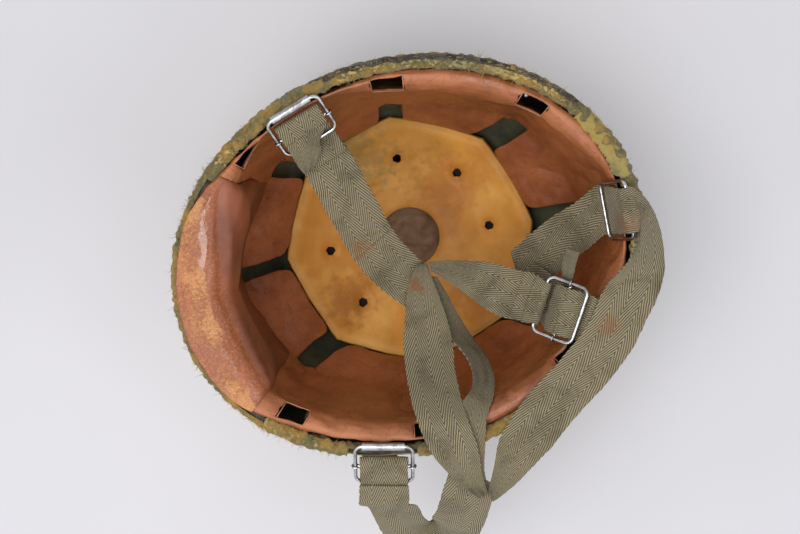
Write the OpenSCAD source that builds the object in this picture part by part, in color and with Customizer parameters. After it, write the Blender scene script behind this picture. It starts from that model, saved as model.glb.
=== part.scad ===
// Paratrooper helmet, lying on its crown with the opening up.
// Origin at the centre of the flat spot on the crown, +Z out of the opening, -X to the wearer's front,
// +Y to the wearer's left. Millimetres.

/* [Steel shell] */
// Length of the steel shell at the rim, front to back
shell_length = 272; // [262:1:282]
// Width of the steel shell at the rim
shell_width = 225; // [217:1:233]
// Depth of the steel shell from the rim to the crown
shell_depth = 165; // [160:1:170]
// Half length of the flat spot at the crown
crown_flat = 28; // [25:1:31]
// Thickness of the steel
steel_wall = 1.2; // [1:0.1:1.5]

/* [Cover and edge] */
// Thickness of the cloth cover
cover_wall = 1; // [0.8:0.1:1.5]
// Thickness of the edging strip on the steel's edge
edging_wall = 0.7; // [0.5:0.1:0.9]
// Depth of the edging strip's legs
edging_depth = 5; // [4:0.5:6]
// Thickness of the frayed hem
hem_wall = 1; // [0.7:0.1:1.3]
// How far the hem hangs down outside
hem_outside = 14; // [10:1:20]
// How far the hem reaches down inside
hem_inside = 5; // [3:0.5:8]

/* [Leather liner] */
// Thickness of the liner's leather
leather_wall = 1.8; // [1.4:0.1:2.2]
// Length of each window along the rim
window_length = 18.5; // [15:0.5:19.5]
// Width of each opening at the crown pad's corners
corner_opening = 25; // [22:0.5:26]
// How far the forehead pad stands out from the liner
forehead_bulge = 20; // [15:1:23]

/* [Crown pad] */
// Distance from the centre to the flat sides of the crown pad
crown_pad_radius = 79.5; // [77:0.5:81]
// Thickness of the crown pad
crown_pad_wall = 7; // [6:0.5:8]
// Radius of the pad's centre hole
centre_hole_radius = 20.5; // [18:0.5:23]
// Radius of each vent hole
vent_radius = 3; // [2:0.1:4]
// Radius of the circle that the vent holes lie on
vent_circle = 55; // [50:1:60]

/* [Wire slides] */
// Diameter of the wire
wire_diameter = 2.3; // [2:0.1:2.5]
// Length of each wire loop between bar centres
loop_length = 26; // [25:0.5:28]
// Radius of the loops' corners
loop_corner = 4.2; // [3.5:0.1:4.5]
// Distance from the fixed bar to the sliding crossbar
crossbar_at = 14.5; // [14:0.5:15.5]
// Thickness of the brackets' sheet
bracket_sheet = 1.2; // [1:0.1:1.4]
// Width of the brackets' straps
bracket_width = 20; // [16:1:22]
// Radius of the bracket rivets
rivet_radius = 1.6; // [1.2:0.1:2]

/* [Webbing] */
// Width of the webbing
webbing_width = 30; // [28:1:32]
// Thickness of the webbing
webbing_wall = 1.6; // [1.2:0.1:1.8]

/* [Hidden] */

// Colours
steel_colour = [0.27, 0.28, 0.22];
edging_colour = [0.2, 0.2, 0.18];
cloth_colour = [0.72, 0.6, 0.3];
hem_colour = [0.78, 0.62, 0.28];
leather_colour = [0.6, 0.33, 0.22];
foam_colour = [0.55, 0.5, 0.4];
pad_colour = [0.85, 0.62, 0.26];
felt_colour = [0.5, 0.42, 0.33];
metal_colour = [0.75, 0.76, 0.78];
webbing_colour = [0.5, 0.47, 0.36];

// Clearance between faces that lie on each other
seat = 0.2;
// Radial clearance of the wire in its tube and in the eyelets
running = 0.1;
// Clearance of webbing from metal
loose = 0.3;

// Shell of revolution on an ellipse: its profile is a superellipse of this power
dome_power = 2.5;
half_length = shell_length / 2;
half_width = shell_width / 2;
flat_share = crown_flat / half_length;
cover_inner = seat;
rim_z = shell_depth + cover_inner + cover_wall;

// Layers at the rim, measured inwards from the steel's outer face
edging_inside = steel_wall + seat + edging_wall;
hem_inside_face = edging_inside + seat + hem_wall;
bracket_face = hem_inside_face + 1;
leather_edge = bracket_face + bracket_sheet + 0.5;
edging_outside = seat + edging_wall;
cover_rim_inner = edging_outside + seat;
cover_rim_outer = cover_rim_inner + cover_wall;
hem_outer = cover_rim_outer + seat + hem_wall;
hem_top = edging_wall + 2 * seat + hem_wall;

// Angles round the rim, from the wearer's back towards the left
seam_turn = -8;
left_angle = 107;
rear_angle = -5;
right_angle = -110.5;
bracket_angles = [left_angle, rear_angle, right_angle];
forehead_start = 134;
forehead_end = 210;
// How far each window lies beside its seam
window_shift = [0, 3, -0.5, -3.2, 0, 3.8, 0, 0];

// Columns shared by every ring and shell, so that their layers nest
mean_radius = (half_length + half_width) / 2;
window_half = window_length / 2 / mean_radius * 180 / PI;
corner_half = corner_opening / 2 / (crown_pad_radius + 8) * 180 / PI;
sector = [-window_half, window_half, corner_half, 15.5, 22.5, 29.5, 45 - corner_half];
columns = [for (k = [0:7]) for (n = [0:6])
    seam_turn + 45 * k + sector[n] + (n < 2 ? window_shift[k] : 0)];

// Ways down the dome: the parameter runs from 0 at the crown to 90 at the rim
dome_rows = [0, 15, 30, 43, 54, 64, 73, 82];

function dome_share(t) = flat_share + (1 - flat_share) * pow(sin(t), 2 / dome_power);

function dome_at_drop(drop) = acos(pow(drop / shell_depth, dome_power / 2));

// Point on the dome, offset outwards by d
function dome_point(d, t, a) = [
    (half_length + d) * dome_share(t) * cos(a),
    (half_width + d) * dome_share(t) * sin(a),
    rim_z - (shell_depth + d) * pow(max(0, cos(t)), 2 / dome_power)
];

// Point at a height above the rim, a given distance inwards of the steel's outer face
function wall_point(inwards, rise, a) =
    let (share = dome_share(dome_at_drop(max(0, -rise))))
    [(half_length * share - inwards) * cos(a), (half_width * share - inwards) * sin(a), rim_z + rise];

function unit(v) = v / norm(v);

function mix(a, b, t) = a * (1 - t) + b * t;

// Quadrilateral as two triangles
function halves(a, b, c, d) = [[a, b, c], [a, c, d]];

// Closed solid between two grids of points, which leaves out the cells where cut(row, column) holds.
// A loop joins its last column to its first, and a cap closes the first row of both grids.
module grid_solid(front, back, loop = true, cap = false, cut = function(i, j) false) {
    rows = len(front);
    across = len(front[0]);
    cells = loop ? across : across - 1;
    side = rows * across;
    at = function(s, i, j) s * side + i * across + (j % across);
    whole = function(i, j) i >= 0 && i < rows - 1 && (loop || (j >= 0 && j < cells))
        && !cut(i, (j + cells) % cells);
    faces = [
        for (i = [0:rows - 2]) for (j = [0:cells - 1]) if (whole(i, j)) each concat(
            halves(at(0, i, j), at(0, i, j + 1), at(0, i + 1, j + 1), at(0, i + 1, j)),
            halves(at(1, i, j), at(1, i + 1, j), at(1, i + 1, j + 1), at(1, i, j + 1)),
            whole(i - 1, j) || (cap && i == 0) ? []
                : halves(at(0, i, j + 1), at(0, i, j), at(1, i, j), at(1, i, j + 1)),
            whole(i + 1, j) ? []
                : halves(at(0, i + 1, j), at(0, i + 1, j + 1), at(1, i + 1, j + 1), at(1, i + 1, j)),
            whole(i, j - 1) ? []
                : halves(at(0, i, j), at(0, i + 1, j), at(1, i + 1, j), at(1, i, j)),
            whole(i, j + 1) ? []
                : halves(at(0, i + 1, j + 1), at(0, i, j + 1), at(1, i, j + 1), at(1, i + 1, j + 1)))
    ];
    caps = cap ? [
        [for (j = [0:across - 1]) at(0, 0, across - 1 - j)],
        [for (j = [0:across - 1]) at(1, 0, j)]
    ] : [];
    polyhedron([for (g = [front, back]) for (row = g) each row], concat(faces, caps), convexity = 8);
}

// Shell, edging, cover and hem

module steel_shell() {
    rows = concat(dome_rows, [dome_at_drop(8), 90]);
    color(steel_colour)
    difference() {
        grid_solid(
            [for (t = rows) [for (a = columns) dome_point(-steel_wall, t, a)]],
            [for (t = rows) [for (a = columns) dome_point(0, t, a)]],
            cap = true);
        for (a = bracket_angles) at_bracket(a) rivet_holes();
    }
}

module edging_strip() {
    outside = -edging_outside;
    color(edging_colour)
    grid_solid(
        [for (p = [[steel_wall + seat, -edging_depth], [steel_wall + seat, seat],
                   [-seat, seat], [-seat, -edging_depth]])
            [for (a = columns) wall_point(p[0], p[1], a)]],
        [for (p = [[edging_inside, -edging_depth], [edging_inside, edging_outside],
                   [outside, edging_outside], [outside, -edging_depth]])
            [for (a = columns) wall_point(p[0], p[1], a)]]);
}

module cloth_cover() {
    rows = concat(
        [for (t = dome_rows) [t, cover_inner]],
        [[dome_at_drop(edging_depth + 5), cover_inner], [dome_at_drop(edging_depth + 2), cover_rim_inner],
         [dome_at_drop(1), cover_rim_inner]]);
    color(cloth_colour)
    grid_solid(
        [for (r = rows) [for (a = columns) dome_point(r[1], r[0], a)]],
        [for (r = rows) [for (a = columns) dome_point(r[1] + cover_wall, r[0], a)]],
        cap = true);
}

// The hem is cut away outside the right bracket, where its loop and strap hang over the edge,
// and inside the front, where the leather goes over the edge
module cover_hem() {
    gap = 9;
    face = cover_rim_outer + seat;
    top = edging_outside + seat;
    middle_of = function(j)
        (columns[j] + columns[(j + 1) % len(columns)] + (j == len(columns) - 1 ? 360 : 0)) / 2;
    color(hem_colour)
    grid_solid(
        [for (p = [[edging_inside + seat, -hem_inside], [edging_inside + seat, top],
                   [-edging_outside, top], [-face, top - hem_wall], [-face, -hem_outside]])
            [for (a = columns) wall_point(p[0], p[1], a)]],
        [for (p = [[hem_inside_face, -hem_inside], [hem_inside_face, top + hem_wall],
                   [-edging_outside, top + hem_wall], [-hem_outer, top - hem_wall / 2],
                   [-hem_outer, -hem_outside]])
            [for (a = columns) wall_point(p[0], p[1], a)]],
        cut = function(i, j)
            (i > 0 && turn_between(middle_of(j), right_angle) < gap)
            || (i < 3 && turn_between(middle_of(j), front_middle) < front_half + 6));
}

// Liner

// Rows of the leather: [inwards at a seam, inwards at mid panel, rise, least inwards, dent at a loop,
// drop at the rear loop, lift over the edge at the front]
leather_rows = [
    [0, 0, -1.5, 0, 0, 8, 4.6],
    [0.6, 1, 2, 0.5, 0.6, 8, 3.8],
    [2.6, 4.5, 2, 1.6, 4, 8, 3.4],
    [6, 8, -1, 1.8, 7, 6.5, 2.4],
    [9.5, 10.5, -6.5, 1.8, 9, 4, 1],
    [8, 11, -16, 2.1, 10, 0, 0],
    [6, 9.5, -32, 3, 7, 0, 0],
    [4, 8, -64, 4, 0, 0, 0],
    [3.5, 7.5, -97, 3.5, 0, 0, 0]
];
// How far the leather moves out over the edge at the front, in its first rows
front_reach = [7, 7, 6, 3, 1];
front_middle = 176;
front_half = 41;
// Where a loop presses on it, the folded edge is short and thin
fold_lift = 2.4;
fold_wall = [0.2, 0.2, 0.7];
// The first rows lie lower under the left loop's strap
left_drop = [2, 2, 2, 2, 1];
// Rows that draw in to the crown pad: [rise, share of the way in]
leather_ends = [[-110, 0.45], [-121, 1]];
leather_count = len(leather_rows) + len(leather_ends);

function panel_swell(a) = pow(sin(4 * (((a - seam_turn) % 45 + 45) % 45)), 0.6);

function turn_between(a, b) = abs(((a - b) % 360 + 540) % 360 - 180);

function press_at(a, b) = exp(-pow(turn_between(a, b) / 20, 4));

// Where the left and rear loops press into the leather
function loop_press(a) = max(press_at(a, left_angle), press_at(a, rear_angle));

function over_front(a) = exp(-pow(turn_between(a, front_middle) / front_half, 8));

function leather_inwards(i, a) =
    let (r = leather_rows[i])
    leather_edge + max(r[3], mix(r[0], r[1], panel_swell(a)) - r[4] * loop_press(a))
    - (i < len(front_reach) ? front_reach[i] * over_front(a) : 0);

function leather_rise(i, a) =
    let (r = leather_rows[i])
    r[2] - r[5] * press_at(a, rear_angle) + r[6] * over_front(a) + (i == 0 ? fold_lift * loop_press(a) : 0)
    - (i < len(left_drop) ? left_drop[i] * press_at(a, left_angle) : 0);

// Leather in the plane of the profile, moved behind its face by depth
function leather_profile(i, a, depth) =
    let (
        last = len(leather_rows) - 1,
        before = max(0, i - 1),
        after = min(last, i + 1),
        here = [leather_inwards(i, a), leather_rise(i, a)],
        along = unit([leather_inwards(after, a) - leather_inwards(before, a),
                      leather_rise(after, a) - leather_rise(before, a)]),
        share = i < len(fold_wall) ? mix(1, fold_wall[i], loop_press(a)) : 1
    )
    here - depth * share * [-along[1], along[0]];

// Eight-sided outline of the crown pad with soft corners
function pad_outline(a) =
    let (turn = ((a - seam_turn) % 45 + 45) % 45 - 22.5)
    crown_pad_radius * (1 + 0.6 * (1 / cos(turn) - 1));

pad_gap = 2;

function leather_point(i, a, depth) =
    i < len(leather_rows)
    ? let (p = leather_profile(i, a, depth)) wall_point(p[0], p[1], a)
    : let (
        e = leather_ends[i - len(leather_rows)],
        start = wall_point(leather_inwards(len(leather_rows) - 1, a) - depth, e[0], a),
        radius = pad_outline(a) + pad_gap + depth,
        end = [radius * cos(a), radius * sin(a), rim_z + e[0]]
    )
    mix(start, end, e[1]) - [0, 0, depth * e[1]];

function seam_column(j) = j % len(sector) == 0;

function corner_column(j) = seam_column(j) || seam_column(j + 1) || seam_column(j - 1 + len(sector));

module leather_liner() {
    color(leather_colour)
    grid_solid(
        [for (i = [0:leather_count - 1]) [for (a = columns) leather_point(i, a, 0)]],
        [for (i = [0:leather_count - 1]) [for (a = columns) leather_point(i, a, leather_wall)]],
        cut = function(i, j) (seam_column(j) && (i == 2 || i == 3))
            || (corner_column(j) && i >= len(leather_rows) - 1));
}

// Rivet that shows in the window behind the left ear
module liner_rivet() {
    turn = seam_turn + 45 + window_shift[1] + window_half - 1;
    start = steel_wall + 0.6;
    end = leather_edge + 2.5;
    color(metal_colour)
    translate([half_length * cos(turn), half_width * sin(turn), rim_z - edging_depth - 4])
    rotate([0, 90, outward(turn) + 180]) {
        translate([0, 0, start]) cylinder(r = 1.3, h = end - start, $fn = 32);
        translate([0, 0, end - 0.6]) cylinder(r1 = 2.2, r2 = 1.4, h = 1.2, $fn = 32);
    }
}

module foam_pads() {
    first = 6;
    last = len(leather_rows) - 1;
    least = leather_edge + 1;
    behind = leather_wall + 0.4;
    color(foam_colour)
    for (k = [0:7]) {
        turns = [for (a = [sector[2], sector[3], sector[4], sector[5], sector[6]]) seam_turn + 45 * k + a];
        grid_solid(
            [for (i = [first:last]) [for (a = turns)
                wall_point(max(least, leather_inwards(i, a) - behind), leather_rows[i][2], a)]],
            [for (i = [first:last]) [for (a = turns)
                dome_point(-(steel_wall + 0.9), dome_at_drop(-leather_rows[i][2]), a)]],
            loop = false);
    }
}

module forehead_pad() {
    // Share of the bulge in each row of the leather, from its second row
    swells = [0.02, 0.1, 0.4, 0.8, 1, 0.95, 0.5, 0.05];
    turns = [for (a = columns) if (a > forehead_start && a < forehead_end) a];
    middle = (forehead_start + forehead_end) / 2;
    reach = (forehead_end - forehead_start) / 2 + 3;
    swell = function(i, a)
        1.2 + forehead_bulge * swells[i - 1] * pow(cos(90 * (a - middle) / reach), 0.7);
    color(leather_colour)
    grid_solid(
        [for (i = [1:len(swells)]) [for (a = turns) leather_point(i, a, -0.3 - swell(i, a))]],
        [for (i = [1:len(swells)]) [for (a = turns) leather_point(i, a, -0.3)]],
        loop = false);
}

// Crown

pad_floor = 16;
pad_rise = 26;

function pad_top(r) =
    let (corner = crown_pad_radius * 1.05)
    pad_floor + pad_rise * pow(max(0, (r - centre_hole_radius) / (corner - centre_hole_radius)), 1.8);

module crown_pad() {
    shares = [0, 0.3, 0.58, 0.8, 0.96, 1];
    radius = function(s, a) mix(centre_hole_radius, pad_outline(a), s);
    place = function(s, a, lift)
        let (r = radius(s, a))
        [r * cos(a), r * sin(a), pad_top(r) + lift];
    color(pad_colour)
    difference() {
        grid_solid(
            [for (s = shares) [for (a = columns) place(s, a, s == 1 ? -2 : 0)]],
            [for (s = shares) [for (a = columns)
                place(s, a, s == 1 ? 2 - crown_pad_wall : -crown_pad_wall)]]);
        for (k = [0:7])
            rotate(seam_turn + 45 * k)
            translate([vent_circle, 0, 0])
            cylinder(r = vent_radius, h = rim_z / 2, $fn = 32);
    }
}

// Cushion that fills the crown between the steel and the crown pad
module crown_cushion() {
    inner = -steel_wall - seat;
    edge_t = dome_rows[1];
    flat = dome_share(0) / dome_share(edge_t);
    core = (centre_hole_radius - 1.4) / dome_point(inner, edge_t, 0)[0];
    shares = [core, core + 0.012, flat, 0.56, 0.66, 0.76, 0.88, 1];
    under = function(s, a)
        let (rim = dome_point(inner, edge_t, a), low = dome_point(inner, 0, a))
        [rim[0] * s, rim[1] * s, s <= flat ? low[2] : mix(low[2], rim[2], (s - flat) / (1 - flat))];
    over = function(s, a)
        let (p = under(s, a), r = norm([p[0], p[1]]))
        [p[0], p[1], s == core ? pad_floor - 3 : pad_top(r) - crown_pad_wall - 0.6];
    color(felt_colour)
    grid_solid(
        [for (s = shares) [for (a = columns) over(s, a)]],
        [for (s = shares) [for (a = columns) under(s, a)]],
        cap = true);
}

// Brackets and wire slides

wire_r = wire_diameter / 2;
bore_r = wire_r + running;
tube_r = bore_r + bracket_sheet;
rail_at = webbing_width / 2 + wire_r + 0.85;
tube_length = 2 * (rail_at - loop_corner) - 0.4;
tube_inwards = bracket_face + bracket_sheet / 2;
tube_rise = hem_top + tube_r + 2.3;
rivet_rise = [-15, -21];

// Direction outwards from the rim at an angle
function outward(a) = atan2(half_length * sin(a), half_width * cos(a));

// A slide's frame: [place of the fixed bar, direction of its length on the plan, droop below level]
function slide_frame(a, turned, droop) = [
    [(half_length - tube_inwards) * cos(a), (half_width - tube_inwards) * sin(a), rim_z + tube_rise],
    outward(a) + turned,
    droop
];

left_slide = slide_frame(left_angle, 180, 33);
rear_slide = slide_frame(rear_angle, 180, 64);
right_slide = slide_frame(right_angle, 0, 25);
buckle_slide = [[half_length * 0.492, half_width * -0.429, rim_z - 8], -35, -28];

module at_slide(f) {
    translate(f[0]) rotate([0, f[2], f[1]]) children();
}

// Frame of a bracket: x inwards from the steel's outer face, z above the rim
module at_bracket(a) {
    translate([half_length * cos(a), half_width * sin(a), rim_z])
    rotate([0, 0, outward(a) + 180])
    children();
}

module rivet_holes() {
    for (z = rivet_rise)
        translate([-hem_outer, 0, z]) rotate([0, 90, 0])
        cylinder(r = rivet_radius + running / 2, h = hem_outer + leather_edge, $fn = 32);
}

module bracket(a) {
    low = steel_wall + 1.5;
    step = -hem_inside - 3;
    color(metal_colour)
    at_bracket(a)
    difference() {
        union() {
            translate([0, bracket_width / 2, 0]) rotate([90, 0, 0])
            linear_extrude(bracket_width)
            polygon([[bracket_face, tube_rise], [bracket_face + bracket_sheet, tube_rise],
                     [bracket_face + bracket_sheet, step - 1], [low + bracket_sheet, step - 3],
                     [low + bracket_sheet, -25], [low, -25], [low, step - 2.4], [bracket_face, step - 0.4]]);
            translate([tube_inwards, tube_length / 2, tube_rise]) rotate([90, 0, 0])
            cylinder(r = tube_r, h = tube_length, $fn = 48);
        }
        translate([tube_inwards, tube_length, tube_rise]) rotate([90, 0, 0])
        cylinder(r = bore_r, h = 2 * tube_length, $fn = 48);
        rivet_holes();
    }
}

module bracket_rivets() {
    low = steel_wall + 1.5;
    color(metal_colour)
    for (a = bracket_angles) at_bracket(a)
        for (z = rivet_rise) translate([0, 0, z]) rotate([0, 90, 0]) {
            translate([0, 0, 0.7]) cylinder(r = rivet_radius, h = low + bracket_sheet, $fn = 32);
            translate([0, 0, low + bracket_sheet + 0.05])
            cylinder(r = rivet_radius * 1.9, h = 0.8, $fn = 32);
        }
}

// Closed wire loop in its own frame: fixed bar on the y axis, length along x
module wire_loop() {
    run = loop_length - 2 * loop_corner;
    bar = 2 * (rail_at - loop_corner);
    color(metal_colour) {
        for (s = [-1, 1])
            translate([loop_corner, s * rail_at, 0]) rotate([0, 90, 0])
            cylinder(r = wire_r, h = run, $fn = 32);
        for (x = [0, loop_length])
            translate([x, bar / 2, 0]) rotate([90, 0, 0])
            cylinder(r = wire_r, h = bar, $fn = 32);
        for (c = [[loop_length - loop_corner, 1, 0], [loop_corner, 1, 90],
                  [loop_corner, -1, 180], [loop_length - loop_corner, -1, 270]])
            translate([c[0], c[1] * (rail_at - loop_corner), 0]) rotate(c[2])
            rotate_extrude(angle = 90, $fn = 48) translate([loop_corner, 0]) circle(r = wire_r, $fn = 32);
    }
}

// Sliding crossbar with an eyelet round each rail
module crossbar() {
    eyelet_wire = 0.6;
    ring = wire_r + running + eyelet_wire;
    reach = rail_at - wire_r - 0.35;
    color(metal_colour)
    translate([crossbar_at, 0, 0]) {
        translate([0, reach, 0]) rotate([90, 0, 0]) cylinder(r = wire_r - 0.05, h = 2 * reach, $fn = 32);
        for (s = [-1, 1])
            translate([0, s * rail_at, 0]) rotate([0, 90, 0])
            rotate_extrude($fn = 48) translate([ring, 0]) circle(r = eyelet_wire, $fn = 24);
    }
}

// Webbing

// Heights of webbing that lies on either face of a slide's wire
leg = wire_r + loose + webbing_wall / 2;
// How far a crossbar slides each way
crossbar_travel = 3;
leg_end = loop_length + 3;
strap_start = leg_end + crossbar_travel + loose;

// A station is [place, half of the webbing across its width]
function over_rim(x, y, rise, yaw, width) = [
    [x * half_length, y * half_width, rim_z + rise],
    width / 2 * [cos(yaw), sin(yaw), 0]
];

function tilted(x, y, rise, yaw, tilt, width) = [
    [x * half_length, y * half_width, rim_z + rise],
    width / 2 * [cos(tilt) * cos(yaw), cos(tilt) * sin(yaw), sin(tilt)]
];

// Station in a slide's frame: v along it, u across it, w above it
function in_slide(f, v, w, width = webbing_width, u = 0, side = 1) =
    let (
        along = [cos(f[2]) * cos(f[1]), cos(f[2]) * sin(f[1]), -sin(f[2])],
        across = [-sin(f[1]), cos(f[1]), 0],
        above = cross(along, across)
    )
    [f[0] + v * along + u * across + w * above, side * width / 2 * across];

function spline(a, b, c, d, t) =
    (2 * b + (c - a) * t + (2 * a - 5 * b + 4 * c - d) * t * t + (3 * b - a - 3 * c + d) * t * t * t) / 2;

function smooth(p, steps) =
    let (last = len(p) - 1)
    concat(
        [for (i = [0:last - 1]) for (s = [0:steps - 1])
            spline(p[max(i - 1, 0)], p[i], p[i + 1], p[min(i + 2, last)], s / steps)],
        [p[last]]);

// Flat band through its stations, one steps-th of the way between two stations at a time
module webbing(stations, steps = 3) {
    places = smooth([for (s = stations) s[0]], steps);
    halves_across = smooth([for (s = stations) s[1]], steps);
    last = len(places) - 1;
    corners = [for (i = [0:last])
        let (
            along = places[min(i + 1, last)] - places[max(i - 1, 0)],
            lift = unit(cross(along, halves_across[i])) * webbing_wall / 2
        )
        each [places[i] + halves_across[i] + lift, places[i] - halves_across[i] + lift,
              places[i] - halves_across[i] - lift, places[i] + halves_across[i] - lift]];
    sides = [for (i = [0:last - 1]) for (k = [0:3])
        each halves(4 * i + k, 4 * i + (k + 1) % 4, 4 * (i + 1) + (k + 1) % 4, 4 * (i + 1) + k)];
    ends = concat(halves(3, 2, 1, 0), halves(4 * last, 4 * last + 1, 4 * last + 2, 4 * last + 3));
    color(webbing_colour)
    polyhedron(corners, concat(sides, ends), convexity = 10);
}

full = webbing_width;
in_loop = webbing_width - 1.6;

module left_strap() {
    webbing([
        in_slide(left_slide, strap_start, -leg),
        in_slide(left_slide, strap_start + 6, -leg - 0.6),
        over_rim(-0.2, 0.52, -20, 16, full),
        over_rim(-0.185, 0.4, -25, 17, full),
        over_rim(-0.165, 0.27, -30, 18, full),
        over_rim(-0.145, 0.14, -34, 22, full),
        over_rim(-0.115, 0.025, -37, 28, full),
        over_rim(-0.07, -0.08, -38.5, 38, full),
        over_rim(-0.02, -0.17, -39.3, 54, full)
    ]);
}

module left_strap_end() {
    f = left_slide;
    fold = crossbar_at - 5.5;
    webbing([
        in_slide(f, leg_end, -leg, in_loop),
        in_slide(f, 20, -leg, in_loop),
        in_slide(f, fold, -leg, in_loop),
        in_slide(f, fold - 1.8, -leg * 0.7, in_loop),
        in_slide(f, fold - 2.5, 0, in_loop),
        in_slide(f, fold - 1.8, leg * 0.7, in_loop),
        in_slide(f, fold, leg, in_loop),
        in_slide(f, 15, leg, in_loop),
        in_slide(f, 21, leg + 0.2, 28, -0.5),
        in_slide(f, loop_length, leg + 0.6, 25, -2.5),
        in_slide(f, 32, leg + 0.3, 23, -4),
        in_slide(f, 37, leg - 0.2, 17, -7),
        in_slide(f, 41, leg - 0.9, 6, -12)
    ]);
}

module chin_strip_front() {
    webbing([
        over_rim(0.045, -0.075, -36.5, -10, 6),
        over_rim(0.02, -0.16, -36.5, -15, 14),
        over_rim(0.005, -0.25, -36, -17, 20),
        over_rim(-0.01, -0.37, -33, -20, 26),
        over_rim(-0.03, -0.485, -27.5, -22, full),
        over_rim(-0.05, -0.585, -19, -22, full),
        over_rim(-0.06, -0.68, -9, -20, full),
        over_rim(-0.062, -0.77, 2, -18, full),
        over_rim(-0.058, -0.86, 9.8, -18, full),
        over_rim(-0.054, -0.955, 10.6, -18, full),
        over_rim(-0.046, -1.06, 10.3, -17, 26),
        over_rim(-0.032, -1.15, 9.4, -13, 19),
        over_rim(-0.01, -1.24, 7.8, -5, 12),
        over_rim(0.01, -1.3, 6.2, 15, 7)
    ]);
}

module chin_strip_back() {
    webbing([
        over_rim(0.06, -0.16, -40, -15, 9),
        tilted(0.06, -0.3, -42, -24, -12, 18),
        tilted(0.078, -0.42, -42.5, -30, -25, 22),
        tilted(0.112, -0.53, -41, -34, -45, 25),
        tilted(0.15, -0.625, -34, -28, -60, 25),
        tilted(0.163, -0.7, -24.5, -15, -60, 24),
        tilted(0.15, -0.765, -13.5, -10, -46, 21),
        tilted(0.108, -0.82, -1.8, -12, -14, 19),
        tilted(0.065, -0.875, 4.9, -14, 0, 18),
        over_rim(0.035, -0.94, 7, -16, 20),
        over_rim(0.01, -1.04, 7, -16, 19),
        over_rim(0, -1.13, 6.2, -12, 15),
        over_rim(0.005, -1.22, 5.2, -4, 10)
    ]);
}

module buckle_strap() {
    f = buckle_slide;
    round_bar = webbing_width - 4.5;
    webbing([
        over_rim(0.075, -0.1, -34.6, -88, 6),
        over_rim(0.132, -0.138, -34, -107, 11),
        over_rim(0.194, -0.187, -32.4, -115, 17),
        over_rim(0.262, -0.246, -29.3, -119, 24),
        over_rim(0.33, -0.31, -24.8, -123, 29),
        over_rim(0.39, -0.358, -19.8, -124, full),
        in_slide(f, -12, -leg - 0.5, side = -1),
        in_slide(f, -6, -leg - 0.1, 28, side = -1),
        in_slide(f, 0, -leg, round_bar, side = -1),
        in_slide(f, leg * 0.75, -leg * 0.75, round_bar, side = -1),
        in_slide(f, leg + 0.1, 0, round_bar, side = -1),
        in_slide(f, leg * 0.75, leg * 0.75, round_bar, side = -1),
        in_slide(f, 0, leg, round_bar, side = -1),
        in_slide(f, -5, leg * 0.5, 28.5, side = -1),
        in_slide(f, -10, -0.5, 29, side = -1),
        in_slide(f, -16, -1.4, 29, side = -1)
    ]);
}

module buckle_strap_end() {
    f = buckle_slide;
    c = crossbar_at;
    webbing([
        in_slide(f, loop_length + 0.5, -leg, 27, side = -1),
        in_slide(f, c + 8.5, -leg, in_loop, side = -1),
        in_slide(f, c + 5, 0, in_loop, side = -1),
        in_slide(f, c + 2, leg, in_loop, side = -1),
        in_slide(f, c - 2, leg, in_loop, side = -1),
        in_slide(f, c - 5, 0.2, in_loop, side = -1),
        in_slide(f, c - 7.5, -leg, in_loop, side = -1),
        in_slide(f, c - 10, -leg - 1.8, 22, 2, side = -1)
    ]);
}

// Loose end of the webbing, narrow and frayed, beside the buckle. Each row: [along, across and above
// in the buckle's frame, half its width along and above]
module webbing_tail() {
    f = buckle_slide;
    rows = [[11, 8, -8.2, 3, 1.7], [10.5, 13, -7, 3.3, 1.5], [9.5, 18, -4.8, 3.5, 0.6],
            [9.3, 24, -1.5, 4, 0], [9.5, 30, 1.2, 4, -0.6], [10, 36, 3, 4, -0.8]];
    webbing([
        for (r = rows)
        let (
            a = in_slide(f, r[0] + r[3], r[2] + r[4], 1, r[1])[0],
            b = in_slide(f, r[0] - r[3], r[2] - r[4], 1, r[1])[0]
        )
        [(a + b) / 2, (a - b) / 2]
    ]);
}

module rear_strap_left() {
    f = rear_slide;
    b = buckle_slide;
    webbing([
        in_slide(f, leg_end + loose, -leg),
        in_slide(f, leg_end + 5, -leg + 0.6),
        over_rim(0.77, -0.13, -33, -94, full),
        over_rim(0.69, -0.165, -39, -88, full),
        over_rim(0.61, -0.21, -42.5, -80, full),
        over_rim(0.53, -0.255, -44, -78, full),
        over_rim(0.46, -0.29, -45.2, -84, full),
        over_rim(0.445, -0.315, -47, -92, full),
        over_rim(0.475, -0.345, -48.8, -100, full),
        in_slide(b, 3, -15, full, side = -1),
        in_slide(b, 15, -8.2, full, side = -1),
        in_slide(b, loop_length - 2, -leg - 2.8, 29, side = -1),
        in_slide(b, loop_length + 4, -leg - 2.2, 28, side = -1),
        in_slide(b, loop_length + 6, -leg - 1.1, 28, side = -1),
        in_slide(b, loop_length + 5.4, -leg, 28, side = -1),
        in_slide(b, loop_length + 3.2, -leg, 28, side = -1)
    ]);
}

module rear_strap_middle() {
    f = rear_slide;
    webbing([
        in_slide(f, leg_end, -leg, in_loop),
        in_slide(f, loop_length - 3, -leg, in_loop),
        in_slide(f, 15, 0, in_loop),
        in_slide(f, 7, 2.6, 27),
        in_slide(f, 3, tube_r + loose + webbing_wall / 2, 26)
    ]);
}

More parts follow.
